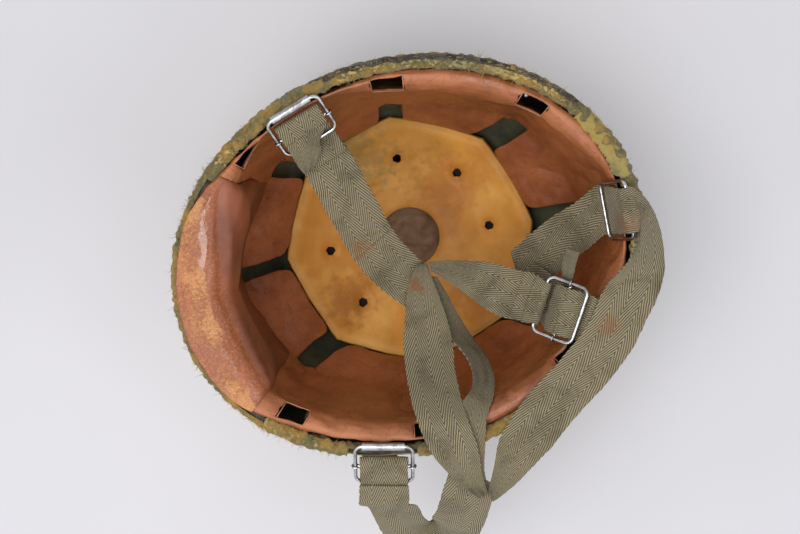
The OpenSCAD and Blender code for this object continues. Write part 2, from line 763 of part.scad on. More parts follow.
module rear_strap_right() {
    level = [rear_slide[0], rear_slide[1], 0];
    over = tube_r + loose + webbing_wall / 2;
    webbing([
        in_slide(level, 2.3, 2.75, 26, side = -1),
        in_slide(level, 0.6, over, 26, side = -1),
        in_slide(level, -3.5, over - 0.3, 26, side = -1),
        tilted(0.992, -0.165, 10, 55, -22, 27),
        tilted(0.988, -0.24, 10, 28, -34, 28),
        tilted(0.965, -0.325, 9.5, 4, -30, 29),
        tilted(0.925, -0.415, 8.5, -16, -14, full),
        over_rim(0.87, -0.49, 8, -34, full),
        over_rim(0.805, -0.576, 8, -42, full),
        over_rim(0.716, -0.697, 7.5, -44, full),
        over_rim(0.573, -0.821, 7, -47, full),
        over_rim(0.405, -0.945, 7.3, -49, full),
        over_rim(0.28, -1.055, 7.6, -51, 29),
        over_rim(0.195, -1.135, 7.2, -56, 25),
        over_rim(0.125, -1.22, 6.4, -68, 18),
        over_rim(0.07, -1.28, 5.6, -82, 12),
        over_rim(0.04, -1.31, 5.2, -86, 8)
    ]);
}

module right_strap() {
    f = right_slide;
    webbing([
        over_rim(0, -1.18, 3, -46, 26),
        over_rim(-0.03, -1.24, 1.6, -44, full),
        over_rim(-0.07, -1.32, -4.5, -38, full),
        over_rim(-0.105, -1.4, -12.5, -34, full),
        over_rim(-0.16, -1.5, -25, -40, full),
        over_rim(-0.205, -1.57, -41, -64, full),
        over_rim(-0.27, -1.6, -54, -102, full),
        over_rim(-0.34, -1.575, -56, -142, full),
        over_rim(-0.38, -1.5, -47, -175, full),
        over_rim(-0.395, -1.4, -34, -192, full),
        over_rim(-0.4, -1.28, -21, -197, full),
        in_slide(f, strap_start + 5, leg, side = -1),
        in_slide(f, strap_start, leg, side = -1)
    ]);
}

module right_strap_end() {
    f = right_slide;
    fold = crossbar_at - 3.5;
    webbing([
        in_slide(f, leg_end, leg, in_loop),
        in_slide(f, 20, leg, in_loop),
        in_slide(f, fold, leg, in_loop),
        in_slide(f, fold - 1.8, leg * 0.7, in_loop),
        in_slide(f, fold - 2.5, 0, in_loop),
        in_slide(f, fold - 1.8, -leg * 0.7, in_loop),
        in_slide(f, fold, -leg, in_loop),
        in_slide(f, 17, -leg - 0.2, in_loop),
        in_slide(f, 22, -leg - 2.4, 27, -1),
        in_slide(f, 24, -leg - 6.5, 25, -2),
        in_slide(f, 23.5, -leg - 11.5, 23, -3),
        in_slide(f, 21.5, -leg - 16.5, 21, -3)
    ]);
}

steel_shell();
edging_strip();
cloth_cover();
cover_hem();
leather_liner();
liner_rivet();
foam_pads();
forehead_pad();
crown_pad();
crown_cushion();
bracket(left_angle);  // left_bracket
bracket(rear_angle);  // rear_bracket
bracket(right_angle);  // right_bracket
bracket_rivets();
at_slide(left_slide) wire_loop();  // left_loop
at_slide(rear_slide) wire_loop();  // rear_loop
at_slide(right_slide) wire_loop();  // right_loop
at_slide(left_slide) crossbar();  // left_crossbar
at_slide(right_slide) crossbar();  // right_crossbar
at_slide(buckle_slide) wire_loop();  // buckle_frame
at_slide(buckle_slide) crossbar();  // buckle_crossbar
left_strap();
left_strap_end();
chin_strip_front();
chin_strip_back();
buckle_strap();
buckle_strap_end();
webbing_tail();
rear_strap_left();
rear_strap_middle();
rear_strap_right();
right_strap();
right_strap_end();
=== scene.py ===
"""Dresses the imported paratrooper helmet, which lies on its crown with its harness across the opening."""

import logging
import math
from dataclasses import dataclass, field
from enum import Enum
from functools import partial, reduce
from typing import Callable, Optional, Sequence

import bmesh
import bpy
import numpy as np
from mathutils import Matrix, Vector
from mathutils.geometry import delaunay_2d_cdt


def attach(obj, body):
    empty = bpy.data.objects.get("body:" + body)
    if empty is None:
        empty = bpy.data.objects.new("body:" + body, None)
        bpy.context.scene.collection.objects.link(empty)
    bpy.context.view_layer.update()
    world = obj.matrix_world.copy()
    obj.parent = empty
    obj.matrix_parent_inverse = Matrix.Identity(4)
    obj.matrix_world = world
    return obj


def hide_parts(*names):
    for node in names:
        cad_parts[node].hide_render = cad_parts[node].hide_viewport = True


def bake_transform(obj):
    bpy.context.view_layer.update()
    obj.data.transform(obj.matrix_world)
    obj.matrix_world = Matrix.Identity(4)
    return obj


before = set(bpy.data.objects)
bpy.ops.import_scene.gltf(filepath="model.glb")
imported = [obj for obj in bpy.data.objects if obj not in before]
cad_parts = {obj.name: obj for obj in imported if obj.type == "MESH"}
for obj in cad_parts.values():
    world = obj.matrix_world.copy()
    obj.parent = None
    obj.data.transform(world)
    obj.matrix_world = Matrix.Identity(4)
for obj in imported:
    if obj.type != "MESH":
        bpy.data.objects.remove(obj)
log = logging.getLogger("helmet")
MM = 0.001
FLOAT, VECTOR = "NodeSocketFloat", "NodeSocketVector"
Numbers = float | np.ndarray
Socket = bpy.types.NodeSocket
Value = Socket | float | tuple


class Slot(Enum):
    """Names of the record's material slots, which the finishes here are named after."""

    EDGING = "edging"
    COVER = "cover_cloth"
    HEM = "hem_cloth"
    LINER = "liner_leather"
    FOREHEAD = "forehead_leather"
    PAD = "crown_pad"
    FELT = "felt"
    WEBBING = "webbing"


# Numbers and meshes


def mix(a: Numbers, b: Numbers, share: Numbers) -> Numbers:
    """Value the given share of the way from a to b."""
    return a * (1 - share) + b * share


def step_between(x: Numbers, low: float, high: float) -> Numbers:
    """Smooth step from 0 at low to 1 at high."""
    t = np.clip((np.asarray(x, float) - low) / (high - low), 0, 1)
    return t * t * (3 - 2 * t)


def turn_between(a: Numbers, b: Numbers) -> Numbers:
    """Smallest angle between two directions, in degrees."""
    return np.abs((np.asarray(a, float) - b + 180) % 360 - 180)


def ripples(points: np.ndarray, length: float, seed: int, waves: int = 16) -> np.ndarray:
    """Smooth random heights, mostly between -1 and 1.

    Args:
        points: places, one row each.
        length: typical distance between crests, in the units of points.
        seed: chooses the pattern.
        waves: number of waves added together.

    Returns:
        One height for each point.
    """
    rng = np.random.default_rng(seed)
    way = rng.normal(size=(waves, points.shape[1]))
    way /= np.linalg.norm(way, axis=1)[:, None]
    pace = 2 * np.pi / length * rng.uniform(0.55, 1.5, waves)
    turns = points @ (way * pace[:, None]).T + rng.uniform(0, 6.28, waves)
    return np.sin(turns).sum(1) / math.sqrt(waves / 1.6)


def spline(points: np.ndarray, steps: int) -> np.ndarray:
    """Smooth curve through points, with the given number of steps between two of them."""
    last = len(points) - 1
    t = (np.arange(steps) / steps)[:, None]
    runs = []
    for i in range(last):
        a, b, c, d = points[max(i - 1, 0)], points[i], points[i + 1], points[min(i + 2, last)]
        bow = 2 * a - 5 * b + 4 * c - d
        runs.append((2 * b + (c - a) * t + bow * t**2 + (3 * b - a - 3 * c + d) * t**3) / 2)
    return np.vstack(runs + [points[last:]])


def grid_faces(rows: int, columns: int, closed: bool, start: int = 0) -> list:
    """Quads of a grid of points, whose columns join round when it is closed."""
    faces = []
    for i in range(rows - 1):
        for j in range(columns if closed else columns - 1):
            here, beside = start + i * columns + j, start + i * columns + (j + 1) % columns
            faces.append((here, beside, beside + columns, here + columns))
    return faces


def block_faces(rows: int, across: int, start: int = 0) -> list:
    """Faces of a closed block of two grids of points, one behind the other, and the wall between their rims.

    Args:
        rows: rows of each grid.
        across: points in each row.
        start: number of the first grid's first point. The second grid follows the first.

    Returns:
        The faces, which look outwards.
    """
    half = rows * across
    faces = grid_faces(rows, across, False, start)
    faces += [tuple(reversed(f)) for f in grid_faces(rows, across, False, start + half)]
    way = [(0, j) for j in range(across - 1)] + [(i, across - 1) for i in range(rows - 1)]
    way += [(rows - 1, j) for j in range(across - 1, 0, -1)] + [(i, 0) for i in range(rows - 1, 0, -1)]
    for (i, j), (m, n) in zip(way, way[1:] + way[:1]):
        one, two = start + i * across + j, start + m * across + n
        faces.append((two, one, one + half, two + half))
    return faces


def new_piece(
    name: str, points: np.ndarray, faces: list, uv: Optional[np.ndarray] = None
) -> bpy.types.Object:
    """Makes a smooth-shaded mesh object.

    Args:
        name: name of the piece.
        points: places in millimetres.
        faces: corners of each face.
        uv: one pair for each point, where a pattern follows the surface.

    Returns:
        The object, at the origin.
    """
    mesh = bpy.data.meshes.new(name)
    mesh.from_pydata((np.asarray(points, float) * MM).tolist(), [], faces)
    if uv is not None:
        corners = np.zeros(len(mesh.loops), np.int32)
        mesh.loops.foreach_get("vertex_index", corners)
        mesh.uv_layers.new(name="surface").data.foreach_set("uv", np.asarray(uv, float)[corners].ravel())
    mesh.polygons.foreach_set("use_smooth", [True] * len(mesh.polygons))
    piece = bpy.data.objects.new(name, mesh)
    bpy.context.scene.collection.objects.link(piece)
    return piece


def select_only(piece: bpy.types.Object) -> None:
    """Selects one object and makes it active."""
    bpy.ops.object.select_all(action="DESELECT")
    piece.select_set(True)
    bpy.context.view_layer.objects.active = piece


def finish_with(piece: bpy.types.Object, kind: str, **settings) -> bpy.types.Object:
    """Adds a modifier with its settings and applies it."""
    select_only(piece)
    modifier = piece.modifiers.new(kind.lower(), kind)
    for key, value in settings.items():
        setattr(modifier, key, value)
    bpy.ops.object.modifier_apply(modifier=modifier.name)
    return piece


def points_of(piece: bpy.types.Object) -> np.ndarray:
    """Places of a piece's vertices, in millimetres."""
    out = np.zeros(len(piece.data.vertices) * 3)
    piece.data.vertices.foreach_get("co", out)
    return out.reshape(-1, 3) / MM


def push(piece: bpy.types.Object, height: Callable[[np.ndarray], np.ndarray]) -> bpy.types.Object:
    """Moves each vertex along its normal by height(places), in millimetres."""
    points = points_of(piece)
    normals = np.zeros(points.size)
    piece.data.vertices.foreach_get("normal", normals)
    moved = points + normals.reshape(-1, 3) * height(points)[:, None]
    piece.data.vertices.foreach_set("co", (moved * MM).ravel())
    piece.data.update()
    return piece


# Finishes


def tint(red: float, green: float, blue: float) -> tuple:
    """Colour from 0 to 255 as a linear one for a shader."""
    linear = [((c / 255 + 0.055) / 1.055) ** 2.4 if c > 10.3 else c / 255 / 12.92 for c in (red, green, blue)]
    return (*linear, 1.0)


class Wiring:
    """Adds nodes to a tree and joins them."""

    def __init__(self, tree: bpy.types.NodeTree) -> None:
        """Keeps the tree."""
        self.tree = tree

    def add(self, kind: str, inputs: Optional[dict] = None, **settings) -> bpy.types.Node:
        """Adds a node.

        Args:
            kind: the node's type, without ShaderNode.
            inputs: values or sockets for its inputs, by name or number.
            **settings: the node's own settings.

        Returns:
            The node.
        """
        node = self.tree.nodes.new("ShaderNode" + kind)
        for key, value in settings.items():
            setattr(node, key, value)
        for key, value in (inputs or {}).items():
            if isinstance(value, Socket):
                self.tree.links.new(value, node.inputs[key])
            else:
                node.inputs[key].default_value = value
        return node

    def math(self, what: str, a: Value, b: Value = 0.0, c: Value = 0.0, clamp: bool = False) -> Socket:
        """Result of a Math node."""
        return self.add("Math", {0: a, 1: b, 2: c}, operation=what, use_clamp=clamp).outputs[0]

    def times(self, *values: Value, clamp: bool = False) -> Socket:
        """Product of values, held between 0 and 1 where clamp is set."""
        first = reduce(partial(self.math, "MULTIPLY"), values[:-1])
        return self.math("MULTIPLY", first, values[-1], clamp=clamp)

    def plus(self, *values: Value) -> Socket:
        """Sum of values."""
        return reduce(partial(self.math, "ADD"), values)

    def minus(self, a: Value, b: Value) -> Socket:
        """What is left of a without b."""
        return self.math("SUBTRACT", a, b)

    def blend(self, share: Value, a: Value, b: Value, how: str = "MIX") -> Socket:
        """Colour between a and b."""
        node = self.add("Mix", {0: share, 6: a, 7: b}, data_type="RGBA", blend_type=how)
        return node.outputs[2]

    def span(
        self, value: Value, low: float, high: float, out_low: float = 0.0, out_high: float = 1.0
    ) -> Socket:
        """Value moved from one range to another and held inside it."""
        node = self.add("MapRange", {0: value, 1: low, 2: high, 3: out_low, 4: out_high}, clamp=True)
        return node.outputs[0]

    def noise(
        self, vector: Socket, scale: Value, detail: float = 4.0, roughness: float = 0.55,
        distortion: float = 0.0,
    ) -> Socket:
        """Height of a Noise texture."""
        inputs = {"Scale": scale, "Detail": detail, "Roughness": roughness, "Distortion": distortion}
        return self.add("TexNoise", {"Vector": vector, **inputs}).outputs[0]

    def cells(self, vector: Socket, scale: Value, feature: str = "F1") -> Socket:
        """Distance of a Voronoi texture."""
        return self.add("TexVoronoi", {"Vector": vector, "Scale": scale}, feature=feature).outputs[0]

    def group(self, name: str, inputs: dict) -> bpy.types.Node:
        """Places a shared effect with its own values."""
        return self.add("Group", inputs, node_tree=Effects.get(name))

    def stain(self, base: Socket, place: Socket, spots: Sequence) -> Socket:
        """Soft spots over a colour, each with its centre, radius, colour and share."""
        for centre, radius, colour, share in spots:
            mask = self.group("spot", {"Vector": place, "Centre": centre, "Radius": radius}).outputs[0]
            base = self.blend(self.times(mask, share), base, colour)
        return base


class Effects:
    """Shared shader effects, each built once as a node group."""

    made: dict = {}

    @classmethod
    def get(cls, name: str) -> bpy.types.NodeTree:
        """Returns the named effect, built when it is first asked for."""
        if name not in cls.made:
            cls.made[name] = getattr(cls, name)()
        return cls.made[name]

    @staticmethod
    def start(name: str, takes: dict, gives: dict) -> tuple:
        """Starts a node group with its sockets and returns its tree, wiring, input and output nodes."""
        tree = bpy.data.node_groups.new(name, "ShaderNodeTree")
        for key, kind in takes.items():
            tree.interface.new_socket(name=key, in_out="INPUT", socket_type=kind)
        for key, kind in gives.items():
            tree.interface.new_socket(name=key, in_out="OUTPUT", socket_type=kind)
        sockets = tree.nodes.new("NodeGroupInput").outputs, tree.nodes.new("NodeGroupOutput").inputs
        return tree, Wiring(tree), *sockets

    @staticmethod
    def herringbone() -> bpy.types.NodeTree:
        """Ridges that turn at each column. It reads places on the surface in millimetres."""
        tree, w, takes, gives = Effects.start(
            "herringbone",
            {"Vector": VECTOR, "Column": FLOAT, "Pitch": FLOAT},
            {"Height": FLOAT, "Ridge": FLOAT},
        )
        place = w.add("SeparateXYZ", {0: takes["Vector"]}).outputs
        folded = w.math("PINGPONG", place[0], takes["Column"])
        lean = w.plus(w.times(folded, 0.934), w.times(place[1], 0.358))
        wobble = w.times(w.noise(takes["Vector"], 0.12, 2), 0.8)
        turn = w.times(w.math("DIVIDE", w.plus(lean, wobble), takes["Pitch"]), 2 * math.pi)
        ridge = w.span(w.math("SINE", turn), -1.0, 1.0)
        cross = w.math("SINE", w.times(w.plus(place[1], w.times(folded, 0.3)), 7.4))
        height = w.plus(ridge, w.times(cross, 0.16))
        tree.links.new(ridge, gives["Ridge"])
        fuzz = w.times(w.noise(takes["Vector"], 3.0, 2), 0.35)
        tree.links.new(w.plus(height, fuzz), gives["Height"])
        return tree

    @staticmethod
    def hide() -> bpy.types.NodeTree:
        """Leather's grain: fine pebbles with wandering creases."""
        tree, w, takes, gives = Effects.start(
            "hide",
            {"Vector": VECTOR, "Pebble": FLOAT, "Crease": FLOAT},
            {"Height": FLOAT, "Crack": FLOAT},
        )
        pebble = w.cells(takes["Vector"], takes["Pebble"], "SMOOTH_F1")
        soft = w.noise(takes["Vector"], takes["Crease"], 6.0, 0.5, 0.6)
        line = w.math("ABSOLUTE", w.minus(soft, 0.5))
        crack = w.span(line, 0.0, 0.035, 1.0, 0.0)
        height = w.plus(w.times(pebble, 0.5), w.times(soft, 1.4))
        tree.links.new(w.minus(height, w.times(crack, 0.25)), gives["Height"])
        tree.links.new(crack, gives["Crack"])
        return tree

    @staticmethod
    def weave() -> bpy.types.NodeTree:
        """Plain weave: threads over and under in two directions, with uneven yarn."""
        tree, w, takes, gives = Effects.start(
            "weave", {"Vector": VECTOR, "Threads": FLOAT}, {"Height": FLOAT, "Uneven": FLOAT}
        )
        place = w.add("SeparateXYZ", {0: takes["Vector"]}).outputs
        slub = w.noise(takes["Vector"], 260.0, 3)
        pace = w.times(takes["Threads"], 2 * math.pi)
        one = w.math("SINE", w.plus(w.times(place[0], pace), w.times(slub, 2.2)))
        two = w.math("SINE", w.plus(w.times(place[1], pace), w.times(slub, 2.2)))
        tree.links.new(w.times(one, two), gives["Height"])
        tree.links.new(slub, gives["Uneven"])
        return tree

    @staticmethod
    def spot() -> bpy.types.NodeTree:
        """Mask that is 1 at a place and fades unevenly to 0 at a radius."""
        tree, w, takes, gives = Effects.start(
            "spot", {"Vector": VECTOR, "Centre": VECTOR, "Radius": FLOAT}, {"Mask": FLOAT}
        )
        far = w.add("VectorMath", {0: takes["Vector"], 1: takes["Centre"]}, operation="DISTANCE")
        away = far.outputs["Value"]
        uneven = w.times(w.minus(w.noise(takes["Vector"], 160.0, 5), 0.5), takes["Radius"])
        reach = w.math("DIVIDE", w.plus(away, w.times(uneven, 2.2)), takes["Radius"])
        tree.links.new(w.span(reach, 0.35, 1.0, 1.0, 0.0), gives["Mask"])
        return tree


class Finish:
    """A material built once and shared by the pieces that have it."""

    name: str = "finish"

    def colour(self, w: Wiring, place: Socket, shader: bpy.types.Node) -> None:
        """Wires the finish's own pattern into the shader."""
        raise NotImplementedError

    def material(self) -> bpy.types.Material:
        """Returns the material, built when it is first asked for."""
        name = "dressed_" + self.name
        if name not in bpy.data.materials:
            made = bpy.data.materials.new(name)
            made.use_nodes = True
            shader = made.node_tree.nodes["Principled BSDF"]
            w = Wiring(made.node_tree)
            self.colour(w, w.add("TexCoord").outputs["Object"], shader)
        return bpy.data.materials[name]

    def put_on(self, piece: bpy.types.Object) -> None:
        """Gives the piece this finish alone."""
        piece.data.materials.clear()
        piece.data.materials.append(self.material())


def bump(w: Wiring, shader: bpy.types.Node, height: Socket, depth: float, strength: float = 1.0) -> None:
    """Feeds a height into the shader's normal."""
    out = w.add("Bump", {"Height": height, "Distance": depth, "Strength": strength}).outputs[0]
    join(w, out, shader, "Normal")


def join(w: Wiring, socket: Socket, shader: bpy.types.Node, name: str) -> None:
    """Links a socket to one of the shader's inputs."""
    w.tree.links.new(socket, shader.inputs[name])


@dataclass(frozen=True)
class LeatherFinish(Finish):
    """Satin leather that is paler and matte where it has been handled."""

    name: str = "liner_leather"
    dark: tuple = tint(128, 72, 44)
    plain: tuple = tint(176, 106, 66)
    pale: tuple = tint(186, 118, 78)
    wear_low: float = 0.156
    wear_high: float = 0.1675

    def colour(self, w: Wiring, place: Socket, shader: bpy.types.Node) -> None:
        """Mottled brown, paler towards the rim, with dark creases and a few grey stains."""
        wide = w.noise(place, 22, 4, 0.6, 0.3)
        fine = w.noise(place, 150, 6, 0.65)
        grain = w.group("hide", {"Vector": place, "Pebble": 900.0, "Crease": 95.0}).outputs
        base = w.blend(w.span(wide, 0.33, 0.62), self.dark, self.plain)
        base = w.blend(w.span(fine, 0.52, 0.75, 0, 0.45), base, self.pale)
        high = w.span(w.add("SeparateXYZ", {0: place}).outputs[2], self.wear_low, self.wear_high)
        worn = w.times(high, w.span(w.noise(place, 45, 5, 0.7), 0.35, 0.6), clamp=True)
        base = w.blend(w.times(worn, 0.75), base, self.pale)
        base = w.blend(w.times(grain["Crack"], 0.35), base, self.dark)
        base = w.stain(base, place, LEATHER_STAINS)
        join(w, base, shader, "Base Color")
        gloss = w.plus(w.span(wide, 0.3, 0.7, 0.28, 0.44), w.times(worn, 0.2))
        join(w, w.plus(gloss, w.span(fine, 0.4, 0.7, -0.05, 0.1)), shader, "Roughness")
        shader.inputs["Specular IOR Level"].default_value = 0.55
        bump(w, shader, grain["Height"], 0.0005, 0.55)


LEATHER_STAINS = (
    ((-0.02, -0.078, 0.150), 0.022, tint(96, 88, 84), 0.5),
    ((0.02, 0.085, 0.155), 0.02, tint(108, 56, 34), 0.45),
    ((0.095, 0.04, 0.150), 0.03, tint(176, 112, 78), 0.4),
)


@dataclass(frozen=True)
class ForeheadFinish(Finish):
    """Leather rubbed down to flaking tan on its upper face and glossy below it."""

    name: str = "forehead_leather"
    dark: tuple = tint(96, 50, 31)
    plain: tuple = tint(146, 80, 50)
    tan: tuple = tint(222, 164, 104)
    rose: tuple = tint(158, 88, 54)
    fleck: tuple = tint(206, 126, 72)
    crease_at: float = 0.1065
    crease_bow: float = -3.0

    def colour(self, w: Wiring, place: Socket, shader: bpy.types.Node) -> None:
        """Brown leather whose top has broken into tan specks."""
        wide = w.noise(place, 26, 4, 0.6, 0.3)
        grain = w.group("hide", {"Vector": place, "Pebble": 800.0, "Crease": 120.0}).outputs
        base = w.blend(w.span(wide, 0.35, 0.65), self.dark, self.plain)
        x, y, z = w.add("SeparateXYZ", {0: place}).outputs
        up = w.add("SeparateXYZ", {0: w.add("NewGeometry").outputs["Normal"]}).outputs[2]
        inside = w.plus(x, self.crease_at, w.times(y, y, self.crease_bow))
        outer = w.span(inside, -0.004, 0.001, 1.0, 0.0)
        high = w.times(w.span(z, 0.146, 0.163), w.span(up, 0.0, 0.55), outer)
        inside = w.plus(inside, w.span(w.noise(place, 70, 3, 0.6), 0.3, 0.7, -0.003, 0.003))
        band = w.times(w.span(inside, -0.029, -0.02), w.span(inside, -0.0125, -0.0105, 1.0, 0.0))
        gloss = w.times(w.span(inside, -0.0125, -0.0105), w.span(inside, -0.0075, -0.0055, 1.0, 0.0))
        base = w.blend(w.times(high, 0.6), base, self.rose)
        fleck = w.span(w.noise(place, 700, 6, 0.8), 0.5, 0.58, 0, 0.6)
        base = w.blend(w.times(high, fleck), base, self.fleck)
        rough = w.span(w.noise(place, 420, 9, 0.9), 0.3, 0.7, -0.24, 0.24)
        patch = w.span(w.plus(w.noise(place, 30, 3, 0.5), rough), 0.36, 0.46)
        drawn = w.add("Mapping", {"Vector": place, "Scale": (1, 1.3, 0.8)}).outputs[0]
        flake = w.span(w.cells(drawn, 520), 0.15, 0.42)
        rubbed = w.times(high, band, patch, w.minus(1.0, w.times(flake, 0.5)), clamp=True)
        base = w.blend(rubbed, base, self.tan)
        join(w, base, shader, "Base Color")
        dull = w.minus(w.span(wide, 0.3, 0.7, 0.48, 0.58), w.times(gloss, 0.4))
        join(w, w.plus(dull, w.times(rubbed, 0.3)), shader, "Roughness")
        shader.inputs["Specular IOR Level"].default_value = 0.65
        height = w.minus(w.times(grain["Height"], 0.5), w.times(rubbed, 0.8))
        bump(w, shader, height, 0.0004, 0.5)


@dataclass(frozen=True)
class PadFinish(Finish):
    """Soft ochre leather of the crown pad, stained round its vents."""

    name: str = "crown_pad"
    plain: tuple = tint(238, 172, 74)
    deep: tuple = tint(214, 146, 62)
    stain: tuple = tint(162, 128, 64)
    light: tuple = tint(248, 192, 100)

    def colour(self, w: Wiring, place: Socket, shader: bpy.types.Node) -> None:
        """Ochre with broad soft mottling."""
        wide = w.noise(place, 20, 5, 0.6, 0.5)
        fine = w.noise(place, 240, 6, 0.7)
        base = w.blend(w.span(wide, 0.36, 0.66), self.deep, self.plain)
        base = w.blend(w.span(w.noise(place, 34, 3, 0.5), 0.52, 0.7, 0, 0.8), base, self.light)
        base = w.blend(w.span(w.noise(place, 15, 3, 0.5, 0.4), 0.55, 0.72, 0, 0.35), base, self.stain)
        base = w.blend(w.span(fine, 0.5, 0.8, 0, 0.25), base, self.deep)
        base = w.stain(base, place, PAD_STAINS)
        join(w, base, shader, "Base Color")
        join(w, w.span(wide, 0.3, 0.7, 0.5, 0.68), shader, "Roughness")
        grain = w.group("hide", {"Vector": place, "Pebble": 700.0, "Crease": 60.0}).outputs
        bump(w, shader, grain["Height"], 0.0004, 0.45)


PAD_STAINS = (
    ((-0.02, 0.062, 0.030), 0.03, tint(128, 128, 84), 0.5),
    ((-0.055, -0.03, 0.025), 0.022, tint(160, 96, 40), 0.5),
    ((0.035, -0.055, 0.030), 0.026, tint(206, 128, 60), 0.5),
    ((0.03, 0.03, 0.020), 0.03, tint(186, 112, 38), 0.45),
)


@dataclass(frozen=True)
class FeltFinish(Finish):
    """Matted grey-brown felt."""

    name: str = "felt"
    plain: tuple = tint(156, 128, 98)
    dark: tuple = tint(116, 90, 68)
    plum: tuple = tint(108, 76, 74)
    # Painted shade colour for the felt under the crown pad.
    unlit: tuple = tint(34, 26, 20)

    def colour(self, w: Wiring, place: Socket, shader: bpy.types.Node) -> None:
        """Mottled fibres with a purplish stain, painted near black as shade in a ring under the crown pad."""
        wide = w.noise(place, 60, 5, 0.65, 0.5)
        fibre = w.noise(w.add("Mapping", {"Vector": place, "Scale": (1, 0.35, 1)}).outputs[0], 900, 6, 0.75)
        base = w.blend(w.span(wide, 0.38, 0.62), self.dark, self.plain)
        base = w.blend(w.span(w.noise(place, 48, 2, 0.4, 1.5), 0.56, 0.62, 0, 0.5), base, self.plum)
        base = w.blend(w.span(fibre, 0.5, 0.75, 0, 0.3), base, self.plain)
        # Painted shade: a ring from about 22 to 74 mm off the middle, under the crown pad, is painted near
        # black where the pad shades the felt.
        level = w.add("VectorMath", {0: place, 1: (1.0, 1.0, 0.0)}, operation="MULTIPLY").outputs[0]
        far = w.add("VectorMath", {0: level}, operation="LENGTH").outputs["Value"]
        pad_shade_ring = w.times(w.span(far, 0.0215, 0.026), w.span(far, 0.068, 0.074, 1.0, 0.0))
        join(w, w.blend(pad_shade_ring, base, self.unlit), shader, "Base Color")
        join(w, w.span(wide, 0.3, 0.7, 0.85, 1.0), shader, "Roughness")
        shader.inputs["Sheen Weight"].default_value = 0.2
        bump(w, shader, fibre, 0.0005, 0.8)


@dataclass(frozen=True)
class WebbingFinish(Finish):
    """Herringbone cotton webbing. It reads its piece's own surface map, in strap widths."""

    name: str = "webbing"
    # high is partly the pale of worn fibres and partly a painted highlight on the twill's ridges; low is
    # painted shade in its valleys.
    high: tuple = tint(168, 156, 126)
    low: tuple = tint(72, 65, 46)
    rust: tuple = tint(142, 84, 44)
    grime: tuple = tint(96, 92, 72)
    full: float = 30.0
    column: float = 7.5
    pitch: float = 1.3

    def colour(self, w: Wiring, place: Socket, shader: bpy.types.Node) -> None:
        """Ridges painted pale as highlight over valleys painted dark as shade, with grime, rust and worn
        patches.
        """
        surface = w.add("UVMap", uv_map="surface").outputs[0]
        flat = w.add("Mapping", {"Vector": surface, "Scale": (self.full, self.full, 1)}).outputs[0]
        twill = w.group("herringbone", {"Vector": flat, "Column": self.column, "Pitch": self.pitch}).outputs
        # Painted light and shade: the ridges get the pale colour as a painted highlight and the valleys the
        # dark one as painted shade.
        base = w.blend(twill["Ridge"], self.low, self.high)
        wide = w.noise(place, 45, 5, 0.6, 0.4)
        base = w.blend(w.span(wide, 0.48, 0.7, 0, 0.5), base, self.grime, "MULTIPLY")
        base = w.blend(w.span(w.noise(place, 700, 5, 0.8), 0.5, 0.75, 0, 0.35), base, self.high)
        rusty = [(centre, radius, self.rust, share) for centre, radius, share in RUST_SPOTS]
        base = w.stain(base, place, rusty)
        join(w, base, shader, "Base Color")
        join(w, w.span(wide, 0.3, 0.7, 0.8, 0.95), shader, "Roughness")
        shader.inputs["Sheen Weight"].default_value = 0.12
        shader.inputs["Specular IOR Level"].default_value = 0.25
        bump(w, shader, twill["Height"], 0.0004, 0.85)


RUST_SPOTS = (
    ((0.129, -0.016, 0.170), 0.011, 0.6),
    ((-0.026, 0.012, 0.130), 0.009, 0.55),
    ((-0.002, -0.02, 0.130), 0.006, 0.6),
    ((0.1, -0.07, 0.1745), 0.008, 0.4),
)


@dataclass(frozen=True)
class ClothFinish(Finish):
    """Thin cotton of the cover, faded mustard with olive and green-grey patches."""

    name: str = "cover_cloth"
    plain: tuple = tint(196, 164, 92)
    olive: tuple = tint(146, 140, 96)
    green: tuple = tint(112, 122, 100)
    pale: tuple = tint(218, 196, 138)
    soil: tuple = tint(108, 92, 60)

    def colour(self, w: Wiring, place: Socket, shader: bpy.types.Node) -> None:
        """Blotches of faded colour over a plain weave."""
        base = w.blend(w.span(w.noise(place, 9, 4, 0.55, 0.6), 0.44, 0.56), self.plain, self.olive)
        base = w.blend(w.span(w.noise(place, 16, 4, 0.6, 0.8), 0.58, 0.66, 0, 0.8), base, self.green)
        base = w.blend(w.span(w.noise(place, 60, 6, 0.7), 0.48, 0.72, 0, 0.6), base, self.pale)
        base = w.blend(w.span(w.noise(place, 30, 6, 0.75, 1.0), 0.6, 0.75, 0, 0.5), base, self.soil)
        weave = w.group("weave", {"Vector": place, "Threads": 1300.0}).outputs
        join(w, w.blend(w.span(weave["Uneven"], 0.4, 0.7, 0, 0.3), base, self.pale), shader, "Base Color")
        join(w, w.span(weave["Uneven"], 0.3, 0.7, 0.78, 0.95), shader, "Roughness")
        shader.inputs["Sheen Weight"].default_value = 0.15
        bump(w, shader, w.plus(weave["Height"], w.times(weave["Uneven"], 1.5)), 0.0002, 0.6)


@dataclass(frozen=True)
class FrayFinish(Finish):
    """Torn and frayed cotton, mustard gold with olive."""

    name: str = "hem_cloth"
    gold: tuple = tint(158, 126, 58)
    olive: tuple = tint(104, 98, 64)
    pale: tuple = tint(196, 164, 96)
    dark: tuple = tint(66, 54, 30)

    def colour(self, w: Wiring, place: Socket, shader: bpy.types.Node) -> None:
        """Uneven colour from fibre to fibre."""
        wide = w.noise(place, 42, 5, 0.65, 0.6)
        fibre = w.noise(place, 420, 7, 0.8)
        base = w.blend(w.span(wide, 0.42, 0.56), self.gold, self.olive)
        base = w.blend(w.span(fibre, 0.5, 0.72, 0, 0.7), base, self.pale)
        base = w.blend(w.span(fibre, 0.44, 0.3, 0, 0.8), base, self.dark)
        join(w, base, shader, "Base Color")
        join(w, w.span(fibre, 0.3, 0.7, 0.8, 0.98), shader, "Roughness")
        shader.inputs["Sheen Weight"].default_value = 0.15
        bump(w, shader, fibre, 0.0012, 0.8)


